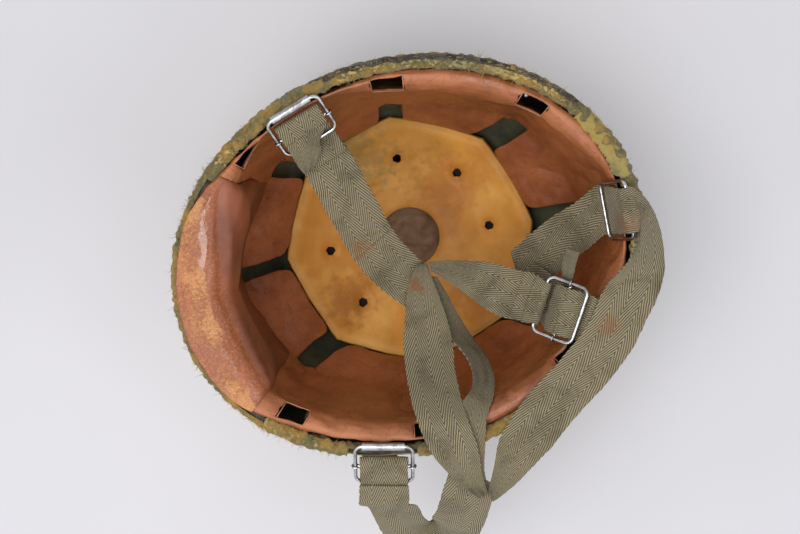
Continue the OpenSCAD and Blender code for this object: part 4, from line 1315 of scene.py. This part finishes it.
@dataclass
class Crown:
    """Ochre crown pad with its vents, and the felt under it."""

    vents: int = 8
    vent_circle: float = 55.0
    vent_radius: float = 3.1
    spacing: float = 2.6

    def pad(self) -> bpy.types.Object:
        """Eight-sided bowl with puckered vents and a round hole."""
        a = np.arange(224) / 224 * 2 * np.pi
        outline = DOME.pad_outline(np.degrees(a)) - 0.4
        loops = [np.stack([outline * np.cos(a), outline * np.sin(a)], 1)]
        b = np.arange(72) / 72 * 2 * np.pi
        loops.append(DOME.hole_radius * np.stack([np.cos(b), np.sin(b)], 1))
        centres = []
        for k in range(self.vents):
            turn = math.radians(DOME.seam(k))
            centre = self.vent_circle * np.array([math.cos(turn), math.sin(turn)])
            centres.append(centre)
            c = np.arange(18) / 18 * 2 * np.pi
            for radius in (self.vent_radius, self.vent_radius + 1.1, self.vent_radius + 2.4):
                uneven = radius * (1 + 0.06 * np.sin(3 * c + k))
                loops.append(centre + np.stack([uneven * np.cos(c), uneven * np.sin(c)], 1))
        for inset in (0.9, 2.0, 3.6):
            loops.append(loops[0] * (1 - inset / np.linalg.norm(loops[0], axis=1))[:, None])
            loops.append(loops[1] * (1 + inset / DOME.hole_radius))
        side = np.arange(-84, 84.1, self.spacing)
        lines = enumerate(side * 0.88)
        grid = np.array([(x + (n % 2) * self.spacing / 2, y) for n, y in lines for x in side])
        far = np.linalg.norm(grid, axis=1)
        edge = DOME.pad_outline(np.degrees(np.arctan2(grid[:, 1], grid[:, 0])))
        keep = (far < edge - 5.5) & (far > DOME.hole_radius + 5)
        for centre in centres:
            keep &= np.linalg.norm(grid - centre, axis=1) > self.vent_radius + 3.6
        verts, edges = [], []
        for loop in loops:
            first = len(verts)
            verts += [Vector(p) for p in loop]
            edges += [(first + i, first + (i + 1) % len(loop)) for i in range(len(loop))]
        verts += [Vector(p) for p in grid[keep]]
        made = delaunay_2d_cdt(verts, edges, [], 0, 1e-5)
        flat = np.array([[v.x, v.y] for v in made[0]])
        faces = []
        for tri in made[2]:
            middle = flat[list(tri)].mean(0)
            turn = math.degrees(math.atan2(middle[1], middle[0]))
            r = np.linalg.norm(middle)
            if r > DOME.pad_outline(turn) - 0.4 or r < DOME.hole_radius:
                continue
            if any(np.linalg.norm(middle - c) < self.vent_radius * 0.9 for c in centres):
                continue
            faces.append(tuple(tri))
        r = np.linalg.norm(flat, axis=1)
        turn = np.degrees(np.arctan2(flat[:, 1], flat[:, 0]))
        z = DOME.pad_top(r) + 0.35 + 0.45 * ripples(flat, 30, 61) + 0.12 * ripples(flat, 9, 62)
        edge = DOME.pad_outline(turn) - 0.4 - r
        z -= 2.6 * np.exp(-((edge / 2.6) ** 2)) + 1.6 * np.exp(-(((r - DOME.hole_radius) / 1.8) ** 2))
        z += 0.5 * np.exp(-(((edge - 6) / 4) ** 2))
        for n, centre in enumerate(centres):
            away = np.linalg.norm(flat - centre, axis=1) - self.vent_radius
            around = np.arctan2(flat[:, 1] - centre[1], flat[:, 0] - centre[0])
            z -= 1.9 * np.exp(-((away / 2.0) ** 2)) - 0.5 * np.exp(-(((away - 4.5) / 2.5) ** 2))
            z += 0.25 * np.sin(5 * around + n) * np.exp(-(((away - 2) / 2.5) ** 2))
        piece = new_piece("crown_pad_piece", np.column_stack([flat, z]), faces)
        finish_with(piece, "SOLIDIFY", thickness=5.6 * MM, offset=-1)
        PadFinish().put_on(piece)
        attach(piece, "root")
        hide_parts("crown_pad")
        return piece

    def felt(self) -> bpy.types.Object:
        """Felt cushion on the steel, seen through the pad's hole."""
        count = 96
        turns = np.arange(count) / count * 360
        rim = DOME.point(-1.4, 15, turns)
        low = DOME.point(-1.4, 0, turns)
        flat = float(DOME.share(0) / DOME.share(15))
        core = (DOME.hole_radius - 1.4) / rim[0, 0]
        tops = [0.02, core * 0.4, core * 0.75, core * 0.95, core + 0.012]
        tops += [0.4, 0.5, 0.6, 0.72, 0.84, 0.94, 1.0]
        bottoms = [1.0, 0.94, 0.84, 0.72, 0.6, flat, flat * 0.5, 0.02]
        rows = []
        for s in tops:
            x, y = rim[:, 0] * s, rim[:, 1] * s
            r = np.hypot(x, y)
            z = DOME.pad_top(r) - DOME.pad_wall - 0.6
            if s <= core:
                matted = 0.25 * ripples(np.stack([x, y], 1), 12, 71)
                z = np.full(count, DOME.pad_floor - 3.0 - 0.5 * (s > core * 0.9)) + matted
            rows.append(np.stack([x, y, z], 1))
        for s in bottoms:
            z = low[:, 2] if s <= flat else mix(low[:, 2], rim[:, 2], (s - flat) / (1 - flat))
            rows.append(np.stack([rim[:, 0] * s, rim[:, 1] * s, z + 0.05], 1))
        points = np.vstack(rows)
        faces = [tuple(reversed(f)) for f in grid_faces(len(rows), count, True)]
        last = len(points) - 1
        faces += [tuple(range(count)), tuple(range(last, last - count, -1))]
        piece = new_piece("crown_cushion_piece", points, faces)
        FeltFinish().put_on(piece)
        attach(piece, "root")
        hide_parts("crown_cushion")
        return piece

    def build(self) -> list:
        """Builds the crown's pieces."""
        return [self.pad(), self.felt()]


# Harness

# Radius of the wire, and the webbing's thickness and width
WIRE = 1.15
WALL = 1.6
FULL = 30.0
# Height of a leg of webbing over the plane of its slide
LEG = WIRE + 0.3 + WALL / 2
# From a slide's fixed bar to its far bar, to its crossbar and to where its webbing's legs and the straps end
LOOP = 26.0
BAR_AT = 14.5
LEG_END = LOOP + 3
STRAP_START = LEG_END + 3.3
# Outer radius of a bracket's tube
TUBE = 2.45


@dataclass(frozen=True)
class Slide:
    """Frame of a wire slide: its fixed bar's middle, direction on the plan and droop."""

    origin: tuple
    yaw: float
    droop: float

    @classmethod
    def on_rim(cls, a: float, turned: float, droop: float) -> "Slide":
        """Slide whose fixed bar is in the tube of a bracket."""
        inwards, rise, r = 4.9, 6.85, math.radians(a)
        x, y = (DOME.length / 2 - inwards) * math.cos(r), (DOME.width / 2 - inwards) * math.sin(r)
        return cls((x, y, DOME.rim + rise), DOME.outward(a) + turned, droop)

    def axes(self) -> tuple:
        """Directions along the slide, across it and above it."""
        y, d = math.radians(self.yaw), math.radians(self.droop)
        along = np.array([math.cos(d) * math.cos(y), math.cos(d) * math.sin(y), -math.sin(d)])
        across = np.array([-math.sin(y), math.cos(y), 0.0])
        return along, across, np.cross(along, across)

    def at(self, v: float, w: float, width: float = FULL, u: float = 0.0, side: int = 1) -> tuple:
        """Station of webbing at v along the slide, u across it and w above it."""
        along, across, above = self.axes()
        return np.array(self.origin) + v * along + u * across + w * above, side * width / 2 * across


LEFT = Slide.on_rim(DOME.left_angle, 180, 33)
REAR = Slide.on_rim(DOME.rear_angle, 180, 64)
RIGHT = Slide.on_rim(DOME.right_angle, 0, 25)
BUCKLE = Slide((136 * 0.492, 112.5 * -0.429, DOME.rim - 8), -35, -28)
LEVEL = Slide(REAR.origin, REAR.yaw, 0)
# From the place where the right strap starts to follow its loop to the place where it follows it wholly
BEND = np.array([14.6, -17.3, -8.5])


def turn_at(radius: float, a: float) -> tuple:
    """Distances along and above for a place on a circle."""
    return radius * math.cos(math.radians(a)), radius * math.sin(math.radians(a))


def rim(x: float, y: float, rise: float, yaw: float, width: float = FULL, tilt: float = 0.0) -> tuple:
    """Station of webbing at shares of the rim's half length and half width."""
    place = np.array([x * DOME.length / 2, y * DOME.width / 2, DOME.rim + rise])
    a, t = math.radians(yaw), math.radians(tilt)
    return place, width / 2 * np.array([math.cos(t) * math.cos(a), math.cos(t) * math.sin(a), math.sin(t)])


@dataclass
class Band:
    """One length of webbing through its stations."""

    name: str
    body: str
    stations: Sequence
    replaced: Optional[str] = None
    blend_to: Optional[str] = None
    blend_ends: Optional[tuple] = None
    steps: int = 9
    across: int = 15
    seed: int = 1
    ripple: float = 0.22
    first_v: float = 0.0
    seams: Sequence = ()
    line: np.ndarray = field(default=None, repr=False)
    half: np.ndarray = field(default=None, repr=False)
    lift: np.ndarray = field(default=None, repr=False)

    def lay(self) -> None:
        """Works out the smooth line, its half widths and its normals."""
        self.line = spline(np.array([s[0] for s in self.stations]), self.steps)
        self.half = spline(np.array([s[1] for s in self.stations]), self.steps)
        along = np.gradient(self.line, axis=0)
        lift = np.cross(along, self.half)
        self.lift = lift / np.linalg.norm(lift, axis=1)[:, None]

    def on(self, share: float, c: float, height: float) -> np.ndarray:
        """Place on the band, a share of the way along it, c from -1 to 1 across it."""
        x = share * (len(self.line) - 1)
        i = min(int(x), len(self.line) - 2)
        f = x - i
        line, half, lift = (mix(k[i], k[i + 1], f) for k in (self.line, self.half, self.lift))
        return line + half * c + lift * height

    def stitches(self) -> bpy.types.Object:
        """Rows of stitches across the webbing, on both its faces."""
        lines = []
        for share in self.seams:
            for side in (1, -1):
                for c in np.linspace(-0.86, 0.86, 12):
                    bow = [(k, side * (WALL / 2 + 0.16 - 0.14 * k * k)) for k in (-1, 0, 1)]
                    lines.append(np.array([self.on(share + 0.001 * k, c + 0.05 * k, h) for k, h in bow]))
        piece = tube_mesh(self.name.replace("piece", "stitches"), lines, 0.24, 6)
        ThreadFinish().put_on(piece)
        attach(piece, self.body)
        return piece

    def build(self) -> bpy.types.Object:
        """Builds the webbing with thick, slightly frayed edges."""
        self.lay()
        rng = np.random.default_rng(self.seed)
        n, m = len(self.line), self.across
        c = np.sin(np.linspace(-1, 1, m) * np.pi / 2)
        steps = np.linalg.norm(np.diff(self.line, axis=0), axis=1)
        run = np.concatenate([[0], np.cumsum(steps)]) + self.first_v
        width = 2 * np.linalg.norm(self.half, axis=1)
        gather = np.clip(1 - width / FULL, 0, 1)
        edge = 1 + rng.normal(size=(n, 2)) * 0.012
        points, uv = [], []
        for side in (1, -1):
            for i in range(n):
                cc = c if side > 0 else c[::-1]
                reach = np.where(cc < 0, edge[i, 0], edge[i, 1])
                thick = WALL / 2 * (1 - 0.55 * np.abs(cc) ** 6)
                wave = self.ripple * np.sin(run[i] / 7.3 + self.seed + cc * 1.3) * (0.4 + 0.6 * np.abs(cc))
                pleat = 1.0 * gather[i] * np.cos(cc * 2.6 * np.pi) * (1 - cc**4)
                away = (side * thick + wave + pleat)[:, None]
                points.append(self.line[i] + self.half[i] * (cc * reach)[:, None] + self.lift[i] * away)
                uv.append(np.stack([(cc + 1) / 2, np.full(m, run[i] / FULL)], 1))
        top, low = np.stack(points[:n]), np.stack(points[n:])
        ring = np.concatenate([top, low], 1).reshape(-1, 3)
        uvs = np.concatenate([np.stack(uv[:n]), np.stack(uv[n:])], 1).reshape(-1, 2)
        faces = grid_faces(n, 2 * m, True)
        end = (n - 1) * 2 * m
        for k in range(m - 1):
            faces.append((k + 1, k, 2 * m - 1 - k, 2 * m - 2 - k))
            faces.append((end + k, end + k + 1, end + 2 * m - 2 - k, end + 2 * m - 1 - k))
        piece = new_piece(self.name, ring, faces, uvs)
        WebbingFinish().put_on(piece)
        if self.blend_to:
            start, end = (Vector(p * MM) for p in self.blend_ends)
            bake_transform(piece)
        else:
            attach(piece, self.body)
        if self.replaced:
            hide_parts(self.replaced)
        return piece


def hairpin(f: Slide, fold: float, w: float, width: float) -> list:
    """Stations of webbing that turns round a crossbar, from its leg at height w."""
    return [
        f.at(fold, w, width),
        f.at(fold - 1.8, w * 0.7, width),
        f.at(fold - 2.5, 0, width),
        f.at(fold - 1.8, -w * 0.7, width),
        f.at(fold, -w, width),
    ]


@dataclass
class Harness:
    """All the webbing, its stitching and its frayed ends."""

    in_loop: float = FULL - 1.6
    at_bar: float = FULL - 4.5
    wires: Sequence = (
        "left_loop", "rear_loop", "right_loop", "left_crossbar", "right_crossbar", "buckle_frame",
        "buckle_crossbar",
    )
    sheets: Sequence = ("left_bracket", "rear_bracket", "right_bracket", "bracket_rivets")
    tail_rows: Sequence = (
        (11, 8, -8.2, 3, 1.7), (10.5, 13, -7, 3.3, 1.5), (9.5, 18, -4.8, 3.5, 0.6), (9.3, 24, -1.5, 4, 0),
        (9.5, 30, 1.2, 4, -0.6), (10, 36, 3, 4, -0.8),
    )

    def left_bands(self) -> list:
        """Webbing at the left loop: the strap, and its end that turns round the crossbar."""
        w = self.in_loop
        left = Band("left_strap_piece", "root", [
            LEFT.at(38.5, -LEG - 1.2), LEFT.at(44, -LEG - 1.2), rim(-0.2, 0.52, -20, 16),
            rim(-0.185, 0.4, -25, 17), rim(-0.165, 0.27, -30, 18), rim(-0.145, 0.14, -34, 22),
            rim(-0.115, 0.025, -37, 28), rim(-0.07, -0.08, -38.5, 38), rim(-0.02, -0.17, -39.3, 54),
        ], "left_strap", seed=1, seams=(0.62, 0.66))
        left_end = Band("left_strap_end_piece", "left_slide", [
            LEFT.at(42.5, -LEG + 2.0, w), LEFT.at(38.5, -LEG + 2.0, w), LEFT.at(34.5, -LEG + 1.3, w),
            LEFT.at(30, -LEG, w), LEFT.at(LOOP, -LEG, w), LEFT.at(20, -LEG, w),
            *hairpin(LEFT, BAR_AT - 5.5, -LEG, w), LEFT.at(15, LEG, w), LEFT.at(20, LEG + 0.2, 26, -1.2),
            LEFT.at(LOOP - 0.5, LEG + 0.6, 19, -5), LEFT.at(32, LEG + 0.4, 17, -6.5),
            LEFT.at(37, LEG, 12, -9), LEFT.at(41, LEG - 0.6, 5, -12),
        ], "left_strap_end", seed=2, first_v=11, seams=(0.72,))
        return [left, left_end]

    def chin_bands(self) -> list:
        """Two strips of the chin piece, which part in the middle."""
        chin_front = Band("chin_strip_front_piece", "root", [
            rim(0.045, -0.075, -36.5, -10, 6), rim(0.02, -0.16, -36.5, -15, 14),
            rim(0.005, -0.25, -36, -17, 20), rim(-0.01, -0.37, -33, -20, 26),
            rim(-0.03, -0.485, -27.5, -22), rim(-0.05, -0.585, -19, -22), rim(-0.06, -0.68, -9, -20),
            rim(-0.062, -0.77, 2, -18), rim(-0.058, -0.86, 9.8, -18), rim(-0.054, -0.955, 10.6, -18),
            rim(-0.046, -1.06, 10.3, -17, 26), rim(-0.032, -1.15, 9.4, -13, 19),
            rim(-0.01, -1.24, 7.8, -5, 12), rim(0.01, -1.3, 6.2, 15, 7),
        ], "chin_strip_front", seed=3)
        chin_back = Band("chin_strip_back_piece", "root", [
            rim(0.06, -0.16, -40, -15, 9), rim(0.06, -0.3, -42, -24, 18, -12),
            rim(0.078, -0.42, -42.5, -30, 22, -25), rim(0.112, -0.53, -41, -34, 25, -45),
            rim(0.15, -0.625, -34, -28, 25, -60), rim(0.163, -0.7, -24.5, -15, 24, -60),
            rim(0.15, -0.765, -13.5, -10, 21, -46), rim(0.108, -0.82, -1.8, -12, 19, -14),
            rim(0.065, -0.875, 4.9, -14, 18), rim(0.035, -0.94, 7, -16, 20), rim(0.01, -1.04, 7, -16, 19),
            rim(0, -1.13, 6.2, -12, 15), rim(0.005, -1.22, 5.2, -4, 10),
        ], "chin_strip_back", seed=4, first_v=5)
        return [chin_front, chin_back]

    def buckle_bands(self) -> list:
        """Webbing at the buckle: the strap, its end and a narrow tail."""
        w, bar, b, c = self.in_loop, self.at_bar, partial(BUCKLE.at, side=-1), BAR_AT
        buckle = Band("buckle_strap_piece", "root", [
            rim(0.075, -0.1, -34.6, -88, 6), rim(0.132, -0.138, -34, -107, 11),
            rim(0.194, -0.187, -32.4, -115, 17), rim(0.262, -0.246, -29.3, -119, 24),
            rim(0.33, -0.31, -24.8, -123, 29), rim(0.39, -0.358, -19.8, -124), b(-12, -LEG - 0.5),
            b(-6, -LEG - 0.1, 28), b(0, -LEG, bar), b(LEG * 0.75, -LEG * 0.75, bar), b(LEG + 0.1, 0, bar),
            b(LEG * 0.75, LEG * 0.75, bar), b(0, LEG, bar), b(-5, LEG * 0.5, 28.5), b(-10, -0.5, 29),
            b(-16, -1.4, 29),
        ], "buckle_strap", seed=5, first_v=9, seams=(0.36, 0.9))
        buckle_end = Band("buckle_strap_end_piece", "buckle_slide", [
            b(LOOP + 0.5, -LEG, 27), b(c + 8.5, -LEG, w), b(c + 5, 0, w), b(c + 2, LEG, w),
            b(c - 2, LEG, w), b(c - 5, 0.2, w), b(c - 7.5, -LEG, w), b(c - 10, -LEG - 1.8, 22, 2),
        ], "buckle_strap_end", seed=6, ripple=0.1, seams=(0.5,))
        rows = []
        for v, u, h, dv, dh in self.tail_rows:
            one, other = b(v + dv, h + dh, 1, u)[0], b(v - dv, h - dh, 1, u)[0]
            rows.append(((one + other) / 2, (one - other) / 2))
        tail = Band("webbing_tail_piece", "root", rows, "webbing_tail", seed=7, across=9, ripple=0.05)
        return [buckle, buckle_end, tail]

    def rear_bands(self) -> list:
        """Webbing that runs through the rear loop, with a branch to the buckle and one to the right."""
        w, b, level = self.in_loop, partial(BUCKLE.at, side=-1), partial(LEVEL.at, side=-1)
        rear_left = Band("rear_strap_left_piece", "root", [
            REAR.at(LEG_END + 0.3, -LEG), REAR.at(LEG_END + 5, -LEG + 0.6), rim(0.77, -0.13, -33, -94),
            rim(0.69, -0.165, -39, -88), rim(0.61, -0.21, -42.5, -80), rim(0.53, -0.255, -44, -78),
            rim(0.46, -0.29, -45.2, -84), rim(0.445, -0.315, -47, -92), rim(0.475, -0.345, -48.8, -100),
            b(3, -15), b(15, -8.2), b(LOOP - 2, -LEG - 2.8, 29), b(LOOP + 4, -LEG - 2.2, 28),
            b(LOOP + 6, -LEG - 1.1, 28), b(LOOP + 5.4, -LEG, 28), b(LOOP + 3.2, -LEG, 28),
        ], "rear_strap_left", seed=8)
        over = TUBE + 0.3 + WALL / 2
        rear_middle = Band("rear_strap_middle_piece", "rear_loop", [
            REAR.at(LEG_END, -LEG, w), REAR.at(LOOP - 3, -LEG, w), REAR.at(15, 0, w), REAR.at(8, 1.8, 27),
            REAR.at(4.2, 2.4, 26.5), REAR.at(2.2, 2.8, 26),
            *[LEVEL.at(*turn_at(3.52, a), 26) for a in (13, 40, 70, 95)],
        ], "rear_strap_middle", seed=9, ripple=0.05)
        rear_right = Band("rear_strap_right_piece", "root", [
            *[level(*turn_at(over + 1.85, a), 26) for a in (38, 62, 85)], level(-3.5, over + 1.1, 26),
            rim(0.992, -0.165, 10, 55, 27, -22), rim(0.988, -0.24, 10, 28, 28, -34),
            rim(0.965, -0.325, 9.5, 4, 29, -30), rim(0.925, -0.415, 8.5, -16, 30, -14),
            rim(0.87, -0.49, 8, -34), rim(0.805, -0.576, 8, -42), rim(0.716, -0.697, 7.5, -44),
            rim(0.573, -0.821, 7, -47), rim(0.405, -0.945, 7.3, -49), rim(0.28, -1.055, 7.6, -51, 29),
            rim(0.195, -1.135, 7.2, -56, 25), rim(0.125, -1.22, 6.4, -68, 18),
            rim(0.07, -1.28, 5.6, -82, 12), rim(0.04, -1.31, 5.2, -86, 8),
        ], "rear_strap_right", seed=10)
        return [rear_left, rear_middle, rear_right]

    def right_bands(self) -> list:
        """Webbing at the right loop: the strap, and its end that turns round the crossbar."""
        w, r, held = self.in_loop, partial(RIGHT.at, side=-1), RIGHT.at(50, LEG)[0]
        right = Band("right_strap_piece", "root", [
            rim(0, -1.18, 3, -46, 26), rim(-0.03, -1.24, 1.6, -44), rim(-0.07, -1.32, -4.5, -38),
            rim(-0.105, -1.4, -12.5, -34), rim(-0.16, -1.5, -25, -40), rim(-0.205, -1.57, -41, -64),
            rim(-0.27, -1.6, -54, -102), rim(-0.34, -1.575, -56, -142), rim(-0.38, -1.5, -47, -175),
            rim(-0.395, -1.4, -34, -192), rim(-0.4, -1.28, -21, -197), r(STRAP_START + 9, LEG + 1.2),
            r(35, LEG + 2.1, 29.8), r(30, LEG + 2.2, 29.6), r(26, LEG + 2.1, 29),
        ], "right_strap", blend_to="right_loop",
           blend_ends=(held + BEND, held), seed=11)
        right_end = Band("right_strap_end_piece", "right_slide", [
            RIGHT.at(LEG_END, LEG, w), RIGHT.at(20, LEG, w), *hairpin(RIGHT, BAR_AT - 3.5, LEG, w),
            RIGHT.at(17, -LEG - 0.2, w), RIGHT.at(22, -LEG - 2.4, 27, -1), RIGHT.at(24, -LEG - 6.5, 25, -2),
            RIGHT.at(23.5, -LEG - 11.5, 23, -3), RIGHT.at(21.5, -LEG - 16.5, 21, -3),
        ], "right_strap_end", seed=12, ripple=0.04)
        return [right, right_end]


    def bands(self) -> list:
        """Every length of webbing."""
        bands = self.left_bands() + self.chin_bands() + self.buckle_bands()
        return bands + self.rear_bands() + self.right_bands()

    def build(self) -> list:
        """Builds the webbing and gives the wire its finish."""
        wire = MetalFinish()
        for node in self.wires:
            wire.put_on(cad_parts[node])
        for node in self.sheets:
            SATIN.put_on(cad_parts[node])
        bands = self.bands()
        return [band.build() for band in bands] + [band.stitches() for band in bands if band.seams]


# Studio


@dataclass(frozen=True)
class Studio:
    """Pale floor, soft lamps and the camera of the photograph's view."""

    roll: float = 17.22
    lens: float = 62.05
    distance: float = 800.0
    lateral: tuple = (7.56, 83.49)
    aim: tuple = (-4.57, -4.32)
    floor_colour: tuple = tint(226, 225, 230)

    def camera(self) -> bpy.types.Object:
        """Camera above the opening."""
        r = math.radians(self.roll)
        right, up = np.array([math.cos(r), -math.sin(r), 0]), np.array([math.sin(r), math.cos(r), 0])
        centre = np.array([0, 0, DOME.rim])
        eye = centre + self.lateral[0] * right + self.lateral[1] * up + [0, 0, self.distance]
        target = centre + self.aim[0] * right + self.aim[1] * up
        ahead = (target - eye) / np.linalg.norm(target - eye)
        side = np.cross(ahead, up)
        side /= np.linalg.norm(side)
        top = np.cross(side, ahead)
        data = bpy.data.cameras.new("camera")
        data.lens, data.sensor_width, data.clip_start, data.clip_end = self.lens, 36, 0.01, 50
        camera = bpy.data.objects.new("camera", data)
        turn = Matrix([[side[k], top[k], -ahead[k]] for k in range(3)]).to_4x4()
        camera.matrix_world = Matrix.Translation(Vector(eye * MM)) @ turn
        bpy.context.scene.collection.objects.link(camera)
        bpy.context.scene.camera = camera
        return camera

    def lamp(self, name: str, place: tuple, power: float, size: float, colour: tuple = (1, 1, 1)) -> None:
        """Soft square lamp that faces the helmet."""
        data = bpy.data.lights.new(name, "AREA")
        data.energy, data.size, data.color = power, size, colour
        lamp = bpy.data.objects.new(name, data)
        lamp.location = place
        lamp.rotation_euler = (Vector((0, 0, 0.1)) - Vector(place)).to_track_quat("-Z", "Y").to_euler()
        bpy.context.scene.collection.objects.link(lamp)

    def floor(self) -> bpy.types.Object:
        """Plain pale floor that fades into the surroundings."""
        bpy.ops.object.select_all(action="DESELECT")
        bpy.ops.mesh.primitive_plane_add(size=16, location=(0, 0, -0.0004))
        plane = bpy.context.active_object
        plane.name = "floor"
        made = bpy.data.materials.new("floor")
        made.use_nodes = True
        w = Wiring(made.node_tree)
        shader = made.node_tree.nodes["Principled BSDF"]
        place = w.add("TexCoord").outputs["Object"]
        soft = w.noise(place, 3.0, 2)
        join(w, w.blend(w.span(soft, 0.3, 0.7), self.floor_colour, tint(218, 217, 222)), shader, "Base Color")
        shader.inputs["Roughness"].default_value = 0.9
        plane.data.materials.append(made)
        return plane

    def world(self) -> None:
        """Even pale light from all round."""
        world = bpy.data.worlds.new("studio")
        world.use_nodes = True
        bpy.context.scene.world = world
        w = Wiring(world.node_tree)
        back = world.node_tree.nodes["Background"]
        back.inputs[0].default_value = (0.93, 0.94, 0.97, 1)
        path = w.add("LightPath").outputs
        seen = w.math("MAXIMUM", path["Is Camera Ray"], path["Is Glossy Ray"])
        w.tree.links.new(w.span(seen, 0, 1, 0.55, 0.85), back.inputs[1])

    def build(self) -> None:
        """Builds the studio."""
        self.camera()
        self.floor()
        self.world()
        self.lamp("key", (-0.3, 0.05, 1.45), 9.0, 0.75, (1.0, 0.985, 0.96))
        self.lamp("fill", (0.5, -0.75, 1.1), 3.4, 1.0)
        self.lamp("front", (-0.7, -0.5, 0.9), 1.6, 0.8)


def main() -> None:
    """Builds the studio and every piece of the helmet in order."""
    logging.basicConfig(level=logging.INFO, format="%(message)s")
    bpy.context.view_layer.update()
    Studio().build()
    for part in (Shell(), Liner(), Crown(), Harness()):
        for piece in part.build():
            log.info("%s: %s, %d faces", type(part).__name__, piece.name, len(piece.data.polygons))
    bpy.context.scene.view_settings.view_transform = "Standard"


if __name__ == "__main__":
    main()
